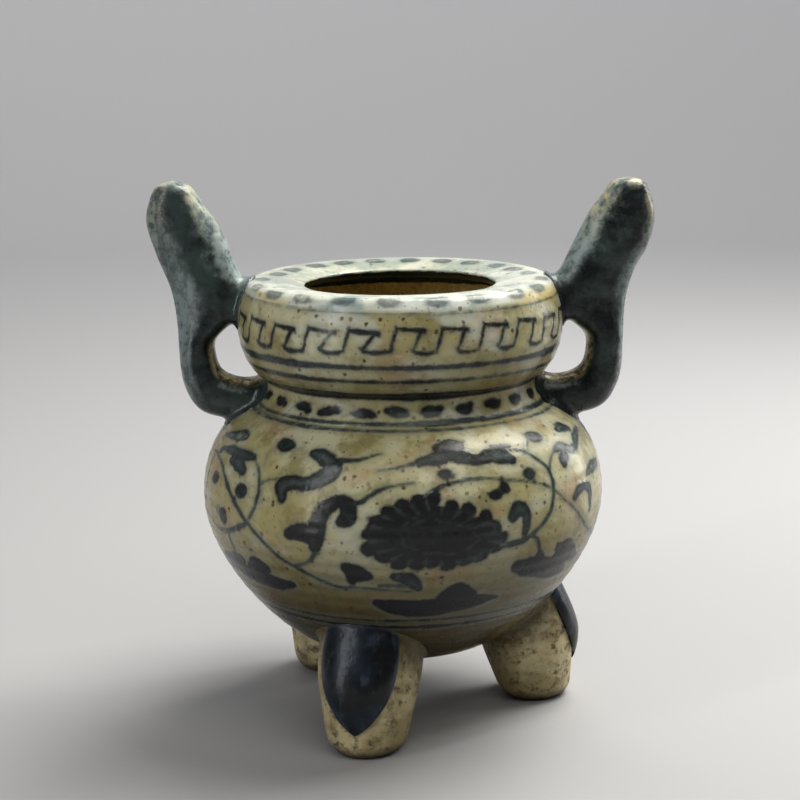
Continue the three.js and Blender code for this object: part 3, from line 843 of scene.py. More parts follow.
def potMaterial(name, look, blushAmount, cloudAmount):
    material, tree, shader = newMaterial(name)
    place = objectPlace(tree)
    broad = noise(tree, place, 26, 4)
    patch = noise(tree, place, 9, 4, 0.6)
    fine = noise(tree, place, 4, 4, 0.6)
    blotch = noise(tree, place, 2.2, 3, 0.6)
    grain = noise(tree, place, 1.1, 3, 0.6)

    glaze = washed(tree, tint(look["pale"]), look["buff"], broad, 0.36, 0.6)
    glaze = washed(tree, glaze, look["olive"], patch, 0.47, 0.68, 0.7)
    glaze = washed(tree, glaze, look["olive"], blotch, 0.52, 0.72, 0.4)
    cloud = noise(tree, place, 15, 4, 0.65, (1.0, 1.0, 1.5))
    glaze = washed(tree, glaze, look["cloud"], cloud, 0.5, 0.66, cloudAmount)
    blush = noise(tree, place, 12, 3)
    glaze = washed(tree, glaze, look["blush"], blush, 0.54, 0.7, blushAmount)
    # darker and browner low on the bowl: partly thinner glaze, partly painted shade
    lowDownShade = ramp(tree, drifted(tree, upward(tree, place), broad, 0.02), 0.028, 0.074, 0.9, 0.0)
    glaze = over(tree, glaze, look["thin"], lowDownShade)
    # painted shade: the glaze is darker and browner wherever the wall faces down
    facing = upward(tree, newNode(tree, "NewGeometry", "Normal", {}))
    under = ramp(tree, compute(tree, "MULTIPLY_ADD", patch, 0.3, facing), 0.15, -0.55, 0.0, 0.7)
    glaze = over(tree, glaze, look["underside"], under, "MULTIPLY")
    milkAndHighlight = times(tree, painted(tree, "milkAndHighlight"), ramp(tree, patch, 0.3, 0.6, 0.75, 1.0))
    pool = compute(tree, "MULTIPLY_ADD", painted(tree, "dish"), 0.14, cloud)
    milkTint = washed(tree, tint(look["milkAndHighlight"]), look["milkBlue"], pool, 0.48, 0.68, 0.9)
    glaze = mixColor(tree, milkAndHighlight, glaze, milkTint)
    rust = compute(tree, "MULTIPLY_ADD", fine, 1.6, painted(tree, "stain"))
    glaze = over(tree, glaze, look["rust"], ramp(tree, rust, 0.0, 2.4, 0.85, 0.0))
    dust = times(tree, specks(tree, place, *look["ironDust"]), 0.8)
    dirt = compute(tree, "MAXIMUM", specks(tree, place, *look["ironSpecks"]), dust)
    glaze = over(tree, glaze, look["speck"], times(tree, dirt, 0.95))

    # the brush line's edge wanders a little, and the glaze lets it run
    edge = drifted(tree, drifted(tree, painted(tree, "cobalt"), fine, 1.2), grain, 0.7)
    cover = ramp(tree, edge, -0.5, 0.5, 1.0, 0.0)
    tone = drifted(tree, drifted(tree, painted(tree, "tone"), blotch, 0.8), patch, 0.6)
    outline = ramp(tree, edge, -1.3, -0.4, 0.0, 0.05)
    vein = painted(tree, "vein")
    wash = ramp(tree, vein, -0.6, 0.8, 0.1, 0.0)
    tone = compute(tree, "SUBTRACT", compute(tree, "ADD", tone, outline), wash)
    blue = washed(tree, tint(look["washBlue"]), look["midBlue"], tone, 0.05, 0.5)
    blue = washed(tree, blue, look["darkBlue"], tone, 0.45, 0.85)
    strength = ramp(tree, tone, 0.0, 0.5, 0.35, 0.97)
    color = mixColor(tree, times(tree, cover, strength), glaze, blue)
    # a faint halo where the colour bled
    uncovered = compute(tree, "SUBTRACT", 1.0, cover)
    halo = times(tree, ramp(tree, edge, 0.2, 1.8, 0.25, 0.0), uncovered)
    color = over(tree, color, look["washBlue"], halo)
    parting = times(tree, ramp(tree, vein, -0.3, 0.5, 0.16, 0.0), cover)
    color = over(tree, color, look["washBlue"], parting)
    color = mixColor(tree, times(tree, milkAndHighlight, 0.3), color, milkTint)

    # inside: dark green glaze over the mouth's edge, then bare clay, painted paler than the clay is as
    # painted light for the light reaching inside
    inside = drifted(tree, painted(tree, "inside"), fine, 0.25)
    bare = ramp(tree, inside, 0.72, 0.82)
    color = washed(tree, color, look["edgeGreen"], inside, 0.3, 0.42)
    clay = washed(tree, tint(look["bareClayAndLight"]), look["burntClayAndLight"], broad, 0.35, 0.65)
    clay = washed(tree, clay, look["speck"], grain, 0.4, 0.7, 0.35)
    color = mixColor(tree, bare, color, clay)

    gloss = compute(tree, "MULTIPLY_ADD", patch, 0.2, look["gloss"] - 0.1)
    gloss = compute(tree, "MULTIPLY_ADD", milkAndHighlight, -0.08, gloss)
    gloss = compute(tree, "MULTIPLY_ADD", bare, 0.5, gloss)
    gloss = compute(tree, "MULTIPLY_ADD", dirt, 0.15, gloss)
    skin = bumps(tree, (noise(tree, place, 3.2, 3, 0.5), look["waveDepth"]),
                 (compute(tree, "SUBTRACT", cover, dirt), look["paintDepth"]),
                 (times(tree, grain, bare), look["clayDepth"]))
    shader.inputs["IOR"].default_value = look["ior"]
    dress(tree, shader, color, gloss, skin)
    return material


outOfSight = 999.0     # the rise of unpainted rows inside the pot
seamEase = 0.25        # how far the seam's edge is drawn in, mm


lipMilkAndHighlight = {
    # each sets in between two heights up the collar, and is as strong as (front, back)
    "backAngle": 205,
    # the crown is whiter at the front partly as a painted highlight, where the near lip catches the light
    "crownAndHighlight": ((33.6, 35.0), (0.98, 0.53)),
    "dish": ((38.5, 42.5), (0.3, 0.6)),
    "bluePool": ((37.5, 43.0), (0.25, 1.0)),
    "inside": 0.6,
}


def milkAndHighlightOnLip(angle, rise, setup):
    # thick pale glaze, most of it on the lip's front edge, and how far it pooled blue, most at the back; the
    # whiter front is partly a painted highlight
    back = (1 + np.cos(np.radians(angle - setup["backAngle"]))) / 2

    def layer(name):
        (low, high), (front, rear) = setup[name]
        return eased(rise, low, high) * (front + (rear - front) * back)

    milkAndHighlight = np.where(rise < outOfSight, np.maximum(layer("dish"), layer("crownAndHighlight")), setup["inside"])
    return milkAndHighlight, layer("bluePool")


def setPaint(mesh, canvas, milkAndHighlight, dish, inside):
    for layer in ("cobalt", "tone", "vein", "stain"):
        setField(mesh, layer, canvas[layer])
    setField(mesh, "milkAndHighlight", milkAndHighlight)
    setField(mesh, "dish", dish)
    setField(mesh, "inside", inside)


def rowRadii(rows, rowOf):
    return np.array([row[0] for row in rows])[rowOf]


def buildBowl(form):
    fineSides, midSides, coarseSides, coreSides = 640, 320, 160, 80
    baseCell, plainCell, insideCell = 3.0, 1.3, 2.2
    outsideCore, insideCore = 8, 10   # the rings inside these radii have the fewest sides
    base = form["baseRadius"]
    fineFrom = bowlStart - 5.0
    lengths = np.concatenate([
        [0.0], np.arange(baseCell, base - 1, baseCell), np.arange(base, fineFrom, plainCell),
        np.linspace(fineFrom, collarStart, int((collarStart - fineFrom) / form["paintedCell"])),
    ])
    outside = wallAt(lengths)
    outside[-1] = (form["seamRadius"] - seamEase, seamHeight)
    rows, rises = [], []
    for length, (radius, height) in zip(lengths, outside):
        sides = fineSides if length > fineFrom else midSides if length > base + 4 else coarseSides
        rows.append((float(radius), float(height), coreSides if radius < outsideCore else sides))
        rises.append(length - bowlStart)
    seamRow = len(rows) - 1
    inner = wallAt(np.arange(collarStart - 1.5, base + 4, -insideCell))
    step = np.gradient(inner, axis=0)
    step /= np.linalg.norm(step, axis=1)[:, None]
    inner = inner + form["bowlWall"] * np.stack([step[:, 1], -step[:, 0]], axis=1)
    floor = baseHeight + form["bowlFloor"]
    inner = inner[(inner[:, 1] > floor + 0.4) & (inner[:, 1] < seamHeight - 1)]
    insideRows = [(form["seamRadius"] - form["bowlWall"], seamHeight), *inner.tolist(),
                  (base, floor), (base / 2, floor - 0.1), (0.0, floor - 0.1)]
    for k, (radius, height) in enumerate(insideRows):
        sides = midSides if k == 0 else coarseSides
        rows.append((radius, height, coreSides if radius < insideCore else sides))
        rises.append(-outOfSight)
    mesh, rowOf, angle = turnedMesh("bowl_body", rows, form, (seamRow, seamRow + 1))
    rise = np.array(rises)[rowOf]
    canvas = newCanvas(angle, rise, rowRadii(rows, rowOf))
    paintBowl(canvas)
    plain = np.zeros(len(rise))
    setPaint(mesh, canvas, milkAndHighlight=plain, dish=plain, inside=rise == -outOfSight)
    return mesh


def buildCollar(form):
    fineSides, midSides, coarseSides = 512, 256, 128
    total = wallLengths[-1]
    lengths = np.linspace(collarStart, total, int((total - collarStart) / form["paintedCell"]))
    outside = wallAt(lengths)
    outside[0] = (form["seamRadius"] - seamEase, seamHeight)
    rows = [(float(r), float(h), fineSides) for r, h in outside]
    rises = list(lengths - collarStart)
    depths = [0.0] * len(rows)   # 0 on the glazed outside, 1 on the bare clay inside
    lipUnder = crestHeight - form["lipThickness"]
    hollowRadius = form["collarRadius"] - form["collarWall"]
    neckInside = form["neckRadius"] - form["neckWall"]
    hollowTop = (hollowRadius - 3, lipUnder - 0.6)
    mouth = outside[-1]
    throat = curve(mouth, (mouth[0] - 0.5, mouth[1] - 0.9), (form["mouthRadius"] - 0.2, lipUnder + 1.2),
                   (form["mouthRadius"] + 1.2, lipUnder), 8)[1:]
    hollow = curve(hollowTop, (hollowRadius + 1.4, lipUnder - 2),
                   (hollowRadius + 0.5, ledgeHeight + 0.3 * (crestHeight - ledgeHeight)),
                   (neckInside, ledgeHeight), 28)
    foot = [(neckInside, seamHeight + 0.4 * form["neckHeight"]),
            (form["seamRadius"] - form["bowlWall"], seamHeight)]
    for k, (radius, height) in enumerate(throat.tolist()):
        rows.append((radius, height, fineSides))
        depths.append(0.3 + 0.35 * (k + 1) / len(throat))
    for k, (radius, height) in enumerate([*hollow.tolist(), *foot]):
        rows.append((radius, height, midSides if k == 0 else coarseSides))
        depths.append(0.55 + 0.45 * float(eased(lipUnder - height, 1.5, 4.5)))
    rows.append((*rows[0][:2], coarseSides))
    depths.append(1.0)
    rises += [outOfSight] * (len(rows) - len(rises))
    last = len(rows) - 1
    mesh, rowOf, angle = turnedMesh("mouth_collar_body", rows, form, (0, last, last - 1))
    rise = np.array(rises)[rowOf]
    canvas = newCanvas(angle, rise, rowRadii(rows, rowOf))
    paintCollar(canvas)
    milkAndHighlight, dish = milkAndHighlightOnLip(angle, rise, lipMilkAndHighlight)
    setPaint(mesh, canvas, milkAndHighlight, dish, inside=np.array(depths)[rowOf])
    return mesh


bowlMaterial = potMaterial("bowl_glaze", potGlaze, blushAmount=0.4, cloudAmount=0.5)
collarMaterial = potMaterial("collar_glaze", potGlaze, blushAmount=0.3, cloudAmount=0.85)
addPiece("bowl_body", buildBowl(potForm), bowlMaterial, "bowl")
print("bowl turned and painted")
addPiece("mouth_collar_body", buildCollar(potForm), collarMaterial, "mouth_collar")
print("collar turned and painted")

# Clay pieces luted to the pot: ears, feet and leaf pads


def squared(value, fullness):
    return np.sign(value) * np.abs(value) ** (2 / fullness)


def ringFaces(count, sides):
    faces = []
    for i in range(count - 1):
        a, b = i * sides, (i + 1) * sides
        faces += [(a + j, a + (j + 1) % sides, b + (j + 1) % sides, b + j) for j in range(sides)]
    return faces


def gridMesh(name, rings, capStart, capEnd):
    # rings of points, all the same length, closed round; a cap point closes an end
    count, sides = rings.shape[:2]
    faces = ringFaces(count, sides)
    vertices = np.concatenate([rings.reshape(-1, 3), [capStart, capEnd]])
    start, end = count * sides, count * sides + 1
    faces += [((j + 1) % sides, j, start) for j in range(sides)]
    faces += [((count - 1) * sides + j, (count - 1) * sides + (j + 1) % sides, end) for j in range(sides)]
    return smoothMesh(name, (vertices * millimetre).tolist(), faces)


def vertexPlaces(mesh):
    # in millimetres
    flat = np.empty(len(mesh.vertices) * 3)
    mesh.vertices.foreach_get("co", flat)
    return flat.reshape(-1, 3) / millimetre


def placeVertices(mesh, place):
    mesh.vertices.foreach_set("co", (place * millimetre).ravel())
    mesh.update()


def vertexNormals(mesh):
    normals = np.empty(len(mesh.vertices) * 3)
    mesh.vertices.foreach_get("normal", normals)
    return normals.reshape(-1, 3)


def lutedToPot(mesh, spread, depth):
    # presses the piece's seat into the wall, and spreads its clay there in a smooth fillet
    place, normals = vertexPlaces(mesh), vertexNormals(mesh)
    radius = np.hypot(place[:, 0], place[:, 1])
    signed, side = fromWall(radius, place[:, 2])
    spin = place[:, :2] / np.maximum(radius, 1e-6)[:, None]
    outward = np.concatenate([side[:, :1] * spin, side[:, 1:]], axis=1)
    along = normals - (normals * outward).sum(1)[:, None] * outward
    length = np.linalg.norm(along, axis=1)
    along = along / np.maximum(length, 0.25)[:, None]
    close = np.clip((spread - np.clip(signed, 0, None)) / spread, 0, 1)
    grown = spread * (1 - np.sqrt(1 - close ** 2))
    sunk = np.clip(-signed - depth, 0, None)
    placeVertices(mesh, place + along * grown[:, None] + outward * sunk[:, None])
    return signed


def lumps(mesh, amount, size):
    # low unevenness from the fingers
    place = vertexPlaces(mesh)
    x, y, z = (2 * math.pi * place / size).T
    height = np.sin(x + 0.7 * np.sin(y)) * np.cos(y * 0.9 + 1.3)
    height = height + np.sin(z * 1.1 + 0.5 * x) * np.cos(y * 1.3 - z * 0.4)
    placeVertices(mesh, place + vertexNormals(mesh) * (amount * 0.5 * height)[:, None])


# Ears

earForm = {
    "depth": 13.0,          # front to back
    "fullness": 2.2,        # 2 is an ellipse, more is squarer
    "armThickness": 9.8,
    "armGap": 6.1,
    "rootThickness": 11.2,
    "bladeWidth": 19.2,
    "bladeHeight": {"right": 25.9, "left": 26.4},
    "bladeLean": {"right": 8.4, "left": 7.4},
    "bridgeHeight": 12.2,
    "fillet": 2.6,
    "seatDepth": 1.2,
    "ringSpacing": 0.7,
    "sides": 72,
}


def throughPoints(points, at):
    # centripetal curve through the points, read at places counted in points
    p = np.array(points, float)
    p = np.concatenate([[2 * p[0] - p[1]], p, [2 * p[-1] - p[-2]]])
    k = np.clip(at.astype(int), 0, len(points) - 2)
    t = (at - k)[:, None]
    a, b, c, d = p[k], p[k + 1], p[k + 2], p[k + 3]
    gaps = [np.maximum(np.linalg.norm(v, axis=1), 1e-6)[:, None] ** 0.5 for v in (b - a, c - b, d - c)]
    first = ((b - a) / gaps[0] - (c - a) / (gaps[0] + gaps[1]) + (c - b) / gaps[1]) * gaps[1]
    last = ((c - b) / gaps[1] - (d - b) / (gaps[1] + gaps[2]) + (d - c) / gaps[2]) * gaps[1]
    return b + first * t + (3 * (c - b) - 2 * first - last) * t ** 2 + (2 * (b - c) + first + last) * t ** 3


def earRails(form, side):
    neck, collar = potForm["neckRadius"], potForm["collarRadius"]
    armInner = collar + form["armGap"]
    armOuter = armInner + form["armThickness"]
    rootTop = ledgeHeight - 0.4
    rootBottom = rootTop - form["rootThickness"]
    bridgeTop = crestHeight + 0.6
    bridgeFoot = bridgeTop - form["bridgeHeight"]
    bladeOuter = armOuter + form["bladeLean"][side]
    bladeInner = bladeOuter - form["bladeWidth"]
    bladeMiddle = crestHeight + 0.42 * form["bladeHeight"][side]
    tipX, tipZ = bladeOuter - 0.37 * form["bladeWidth"], crestHeight + form["bladeHeight"][side]
    inner = [
        (neck - 2, rootTop), (collar - 0.5, rootTop - 0.9), (armInner - 1.5, rootTop + 1.6),
        (armInner, rootTop + 6.5), (armInner - 0.4, bridgeFoot - 5), (collar + 1.5, bridgeFoot - 0.9),
        (collar - 3.5, bridgeFoot + 2), (collar - 4, bridgeTop - 3), (collar - 1.2, bridgeTop + 0.9),
        (bladeInner - 2.2, bladeMiddle - 1.5), (bladeInner + 1.4, bladeMiddle + 5.5),
        (tipX - 7.3, tipZ - 4.9), (tipX - 4.6, tipZ - 1.3), (tipX, tipZ),
    ]
    outer = [
        (neck - 2, rootBottom), (collar + 2, rootBottom - 0.8), (armOuter - 5.3, rootBottom + 1.7),
        (armOuter - 1.2, rootBottom + 8), (armOuter, rootTop + 8), (armOuter + 0.1, bridgeFoot - 2.5),
        (armOuter + 0.5, bridgeFoot + 3), (armOuter + 1.8, bridgeTop - 3), (armOuter + 3.4, bridgeTop + 1.5),
        (bladeOuter - 2.1, bladeMiddle - 4), (bladeOuter, bladeMiddle + 4), (bladeOuter - 0.8, tipZ - 5.8),
        (tipX + 4.2, tipZ - 1.4), (tipX, tipZ),
    ]
    return inner, outer


def buildEar(name, form, side):
    # rings of clay across the two rails, as far apart as the faster rail asks, closing round at the tip
    sign = 1 if side == "right" else -1
    inner, outer = earRails(form, side)
    last = len(inner) - 1
    fineAt = np.linspace(0, last, 1200)
    moves = [np.linalg.norm(np.diff(throughPoints(rail, fineAt), axis=0), axis=1) for rail in (inner, outer)]
    travel = np.concatenate([[0], np.cumsum(np.maximum(*moves))])
    steps = int(travel[-1] / form["ringSpacing"])
    at = np.interp(np.linspace(0, travel[-1], steps), travel, fineAt)
    closing = np.linspace(0, 1, 9)[1:-1]
    at = np.concatenate([at[at < last - 0.3], last - 0.3 * (1 - closing) ** 2.2])
    inside, outside = throughPoints(inner, at), throughPoints(outer, at)
    rounding = np.clip((at - (last - 2)) / 2, 0, 1)
    half = form["depth"] / 2 * np.sqrt(1 - rounding ** 2)
    turn = roundTurn(form["sides"])
    across = 0.5 + 0.5 * squared(np.cos(turn), form["fullness"])
    deep = squared(np.sin(turn), form["fullness"])
    share = across[None, :, None]
    middle = inside[:, None, :] * (1 - share) + outside[:, None, :] * share
    rings = np.stack([sign * middle[..., 0], sign * half[:, None] * deep[None, :], middle[..., 1]], axis=2)
    tip = (sign * inner[-1][0], 0.0, inner[-1][1])
    mesh = gridMesh(name, rings, rings[0].mean(0), tip)
    lumps(mesh, amount=0.16, size=19)
    lutedToPot(mesh, form["fillet"], form["seatDepth"])
    # the glaze's fields, with the two cap points last
    setField(mesh, "across", [*np.tile(across, len(at)), 0.5, 0.5])
    setField(mesh, "facing", [*np.tile(np.abs(deep), len(at)), 0.0, 0.0])
    setField(mesh, "along", [*np.repeat(at / last, len(turn)), 0.0, 1.0])
    return mesh


earGlaze = {
    "dark": "1a2022",
    "teal": "3f4c4a",
    # the pale edge bands: thin glaze, and painted light where the edges face the lamps
    "thin": "9dacab",
    "cream": "cfc6a2",
    "brown": "5c4f34",
    "speck": "121416",
    "gloss": 0.24,
    "ior": 1.52,
    "specks": (3.4, 0.45, 0.4),   # spacing, radius, share
    "mottleDepth": 0.34,          # bumps, mm
    "fineDepth": 0.2,
}


def earMaterial(name, look, edge):
    material, tree, shader = newMaterial(name)
    place = objectPlace(tree)
    broad = noise(tree, place, 14, 4, 0.6)
    fine = noise(tree, place, 3, 4, 0.65)
    mottle = noise(tree, place, 5.5, 4, 0.65)
    streak = noise(tree, place, 6, 4, 0.6, (1.6, 1.6, 0.45))
    across, facing, along = painted(tree, "across"), painted(tree, "facing"), painted(tree, "along")
    color = washed(tree, tint(look["dark"]), look["teal"], broad, 0.42, 0.64)
    color = washed(tree, color, look["teal"], fine, 0.52, 0.7, 0.6)
    # the glaze pools dark in an oval on the blade's flat face, and runs thin over its edges and tip; the pale
    # edge bands are also painted light, where the edges face the lamps
    turned = drifted(tree, drifted(tree, facing, mottle, 0.6), fine, 0.4)
    offFace = ramp(tree, turned, 0.6, 0.98, 1.0, 0.0)
    # the inner band, facing up towards the mouth, is thin glaze and painted light from above
    inward = drifted(tree, across, mottle, 0.3)
    innerThinAndLit = times(tree, ramp(tree, inward, 0.56, 0.3), offFace)
    innerThinAndLit = compute(tree, "MAXIMUM", innerThinAndLit, ramp(tree, inward, 0.3, 0.12))
    innerThinAndLit = times(tree, innerThinAndLit, ramp(tree, along, 0.5, 0.62))
    # the outer band is thin glaze and a painted highlight, broad on the left ear
    outerThinAndLit = ramp(tree, inward, edge["start"], edge["start"] + 0.2)
    outerThinAndLit = times(tree, outerThinAndLit, ramp(tree, along, 0.12, 0.26))
    streaky = ramp(tree, streak, 0.36, 0.54, 0.4 * edge["thinAndLitBands"], edge["thinAndLitBands"])
    outerThinAndLit = times(tree, outerThinAndLit, streaky)
    tipWear = ramp(tree, drifted(tree, along, mottle, 0.1), 0.88, 0.95)
    thinAndLitBands = compute(tree, "MAXIMUM", compute(tree, "MAXIMUM", innerThinAndLit, outerThinAndLit), tipWear)
    thinAndLitBands = times(tree, thinAndLitBands, ramp(tree, fine, 0.34, 0.6, 0.4, 1.0))
    # higher up the worn band is creamier
    creamy = times(tree, ramp(tree, along, 0.66, 0.86, 0.0, edge["cream"]), ramp(tree, fine, 0.4, 0.6))
    bandTint = mixColor(tree, creamy, tint(look["thin"]), tint(look["cream"]))
    color = mixColor(tree, thinAndLitBands, color, bandTint)
    # round the finger gap it is thin and brown
    gap = times(tree, ramp(tree, across, 0.2, 0.05), ramp(tree, along, 0.36, 0.3))
    gap = times(tree, gap, ramp(tree, along, 0.0, 0.04))
    gap = times(tree, gap, ramp(tree, mottle, 0.3, 0.6, 0.5, 1.0))
    gapTint = washed(tree, tint(look["cream"]), look["brown"], fine, 0.4, 0.62)
    color = mixColor(tree, gap, color, gapTint)
    dots = times(tree, specks(tree, place, *look["specks"]), 0.6)
    color = over(tree, color, look["speck"], dots)
    gloss = compute(tree, "MULTIPLY_ADD", fine, 0.2, look["gloss"] - 0.1)
    gloss = compute(tree, "MULTIPLY_ADD", thinAndLitBands, 0.12, gloss)
    skin = bumps(tree, (mottle, look["mottleDepth"]), (fine, look["fineDepth"]))
    shader.inputs["IOR"].default_value = look["ior"]
    dress(tree, shader, color, gloss, skin)
    return material


earEdge = {
    # where across the blade the pale outer band starts, how strong it is, and how creamy high up; the left
    # ear's broad band is partly a painted highlight from the left
    "right": {"start": 0.76, "thinAndLitBands": 0.7, "cream": 0.95},
    "left": {"start": 0.54, "thinAndLitBands": 0.62, "cream": 0.6},
}
for side in ("right", "left"):
    bodyName = f"ear_{side}_body"
    finish = earMaterial(f"ear_{side}_glaze", earGlaze, earEdge[side])
    addPiece(bodyName, buildEar(bodyName, earForm, side), finish, f"ear_{side}")
print("ears rolled and luted")

# Feet and leaf pads, made on the +X side and turned into place

footForm = {
    "angles": {"front": -16, "right": 98, "left": 216},
    "inset": 17.6,
    "halfWidth": 9.7,
    "soleInset": 3.3,
    "soleRise": 4.6,
    "kneeHalfWidth": 13.8,
    "kneeHeight": 22.0,
    "kneeInset": 20.8,
    "fullness": 2.3,
    "tuck": 0.5,
    "kneeSoftness": 5.0,
    "fillet": 1.3,
    "seatDepth": 1.2,
    "ringSpacing": 0.4,
    "sides": 144,
}

padForm = {
    "thickness": 2.0,
    "edge": 0.3,
    "slip": 0.3,
    "halfWidth": 10.3,
    "topHalfWidth": 6.8,
    "tipHeight": {"front": 7.6, "right": 9.4, "left": 9.0},
    "sunk": 0.8,            # how far the pad's back is pressed into the foot
    "fillet": 0.5,
    "rows": 64,
    "columns": 48,
}


def belowKnee(height, form):
    # the height, levelling off softly at the knee
    knee = form["kneeHeight"]
    return (height + knee - np.sqrt((height - knee) ** 2 + form["kneeSoftness"] ** 2)) / 2


def footWidth(height, form):
    taper = np.clip(belowKnee(height, form) / form["kneeHeight"], 0, 1)
    side = form["halfWidth"] + (form["kneeHalfWidth"] - form["halfWidth"]) * taper * (1.4 - 0.4 * taper)
    below = np.clip(1 - height / form["soleRise"], 0, 1)
    return side - form["soleInset"] * (1 - np.sqrt(1 - below ** 2))


def footCentre(height, form):
    low = belowKnee(height, form)
    lean = form["inset"] + (form["kneeInset"] - form["inset"]) * np.clip(low / form["kneeHeight"], 0, 1)
    return bellyRadius - lean - (height - low) * form["tuck"]


def undersideHeight(radius):
    under = wall[:, 1] < potForm["bellyHeight"]
    return float(np.interp(radius, wall[under, 0], wall[under, 1]))


footTop = undersideHeight(bellyRadius - footForm["kneeInset"] + 0.55 * footForm["kneeHalfWidth"])
footTop += potForm["bowlWall"]


def footSkin(angle, height, distance, form):
    reach = footWidth(height, form) + distance
    x = footCentre(height, form) + reach * squared(np.cos(angle), form["fullness"])
    y = reach * squared(np.sin(angle), form["fullness"])
    return np.stack([x, y, np.broadcast_to(height, x.shape)], axis=-1)


def turnAbout(mesh, degrees):
    mesh.transform(Matrix.Rotation(math.radians(degrees - 90), 4, "Z"))


def buildFoot(name, form, degrees):
    low = form["soleRise"] * (1 - np.cos(np.linspace(0, math.pi / 2, 12)))
    step = form["ringSpacing"]
    heights = np.concatenate([low, np.arange(form["soleRise"] + step, footTop, step)])
    turn = roundTurn(form["sides"])
    rings = np.array([footSkin(turn, h, 0.0, form) for h in heights])
    mesh = gridMesh(name, rings, rings[0].mean(0), rings[-1].mean(0))
    lumps(mesh, amount=0.35, size=21 + degrees / 40)
    setField(mesh, "seat", lutedToPot(mesh, form["fillet"], form["seatDepth"]))
    place = vertexPlaces(mesh)
    place[:, 2] = np.clip(place[:, 2], 0, None)   # nothing under the floor
    placeVertices(mesh, place)
    turnAbout(mesh, degrees)
    return mesh


def buildPad(name, form, foot, side, degrees):
    rise, tip = foot["kneeHeight"], form["tipHeight"][side]
    outline = curve((0.4, tip), (1.28 * form["halfWidth"], tip * 0.4 + rise * 0.6),
                    (1.12 * form["halfWidth"], rise * 0.3 + footTop * 0.7), (form["topHalfWidth"], footTop),
                    form["rows"])
    rings = []
    for k, (half, height) in enumerate(outline):
        reach = footWidth(height, foot) + form["slip"]
        widest = math.asin((half / reach) ** (foot["fullness"] / 2))
        swell = min(1, 3 * k / form["rows"]) ** 0.7
        across = np.sin(np.linspace(-1, 1, form["columns"] + 1) * math.pi / 2)
        dome = swell * np.clip(1 - across ** 2, 0, 1) ** 0.7
        thick = form["edge"] + (form["thickness"] - form["edge"]) * dome
        outside = footSkin(across * widest, height, form["slip"] + thick, foot)
        inside = footSkin(across * widest, height, -form["sunk"], foot)[::-1]
        rings.append(np.concatenate([outside, inside]))
    rings = np.array(rings)
    mesh = gridMesh(name, rings, rings[0].mean(0), rings[-1].mean(0))
    lumps(mesh, amount=0.12, size=15 + degrees / 50)
    lutedToPot(mesh, form["fillet"], form["sunk"])
    turnAbout(mesh, degrees)
    return mesh


footLook = {
    "pale": "c9be98",
    "buff": "a0946c",
    "stain": "5f4b2b",
    "dark": "33271b",
    "blush": "a98e6a",
    "grey": "8b8a80",
    "glaze": "544b2f",
    "specks": (3.2, 0.42, 0.5),   # spacing, radius, share
    "dust": (1.4, 0.17, 0.4),
    "mottleDepth": 0.5,           # bumps, mm
    "fineDepth": 0.4,
    "grainDepth": 0.12,
}


def footMaterial(look):
    material, tree, shader = newMaterial("foot_clay")
    place = objectPlace(tree)
    broad = noise(tree, place, 12, 4, 0.6)
    mottle = noise(tree, place, 5, 4, 0.65)
    fine = noise(tree, place, 2.4, 5, 0.65)
    grain = noise(tree, place, 0.8, 3, 0.6)
    color = washed(tree, tint(look["pale"]), look["buff"], broad, 0.38, 0.62)
    blush = noise(tree, place, 9, 3)
    color = washed(tree, color, look["blush"], blush, 0.5, 0.7, 0.6)
    color = washed(tree, color, look["grey"], mottle, 0.52, 0.7, 0.6)
    stain = times(tree, ramp(tree, fine, 0.45, 0.62), ramp(tree, mottle, 0.38, 0.58))
    color = over(tree, color, look["stain"], times(tree, stain, 0.85))
    dust = specks(tree, place, *look["dust"])
    dots = compute(tree, "MAXIMUM", specks(tree, place, *look["specks"]), dust)
    color = over(tree, color, look["dark"], times(tree, dots, 0.9))
    soleDirt = compute(tree, "MULTIPLY_ADD", fine, 0.004, upward(tree, place))
    color = over(tree, color, look["dark"], ramp(tree, soleDirt, 0.002, 0.0062, 0.9, 0.0))
    # the bowl's glaze runs a little way down the foot
    run = drifted(tree, painted(tree, "seat"), mottle, 12.0)
    color = over(tree, color, look["glaze"], ramp(tree, run, 0.4, 10.0, 0.95, 0.0))
    skin = bumps(tree, (mottle, look["mottleDepth"]), (fine, look["fineDepth"]), (grain, look["grainDepth"]))
    dress(tree, shader, color, compute(tree, "MULTIPLY_ADD", fine, 0.4, 0.3), skin)
    return material


padLook = {
    "dark": "0d1014",
    "blue": "1e2a38",
    # streaks of thin glaze, also standing in for a painted sheen
    "thin": "42525e",
    "ior": 1.52,
    "broadDepth": 0.3,            # bumps, mm
    "fineDepth": 0.07,
}


def padMaterial(look):
    material, tree, shader = newMaterial("pad_glaze")
    place = objectPlace(tree)
    broad = noise(tree, place, 9, 4, 0.6)
    streak = noise(tree, place, 5, 4, 0.6, (1.4, 1.4, 0.6))
    fine = noise(tree, place, 1.6, 3, 0.6)
    color = washed(tree, tint(look["dark"]), look["blue"], broad, 0.4, 0.64)
    # paler streaks: the glaze running thin, and a painted sheen
    color = washed(tree, color, look["thin"], streak, 0.5, 0.72, 0.75)
    skin = bumps(tree, (broad, look["broadDepth"]), (fine, look["fineDepth"]))
    shader.inputs["IOR"].default_value = look["ior"]
    dress(tree, shader, color, compute(tree, "MULTIPLY_ADD", fine, 0.2, 0.22), skin)
    return material


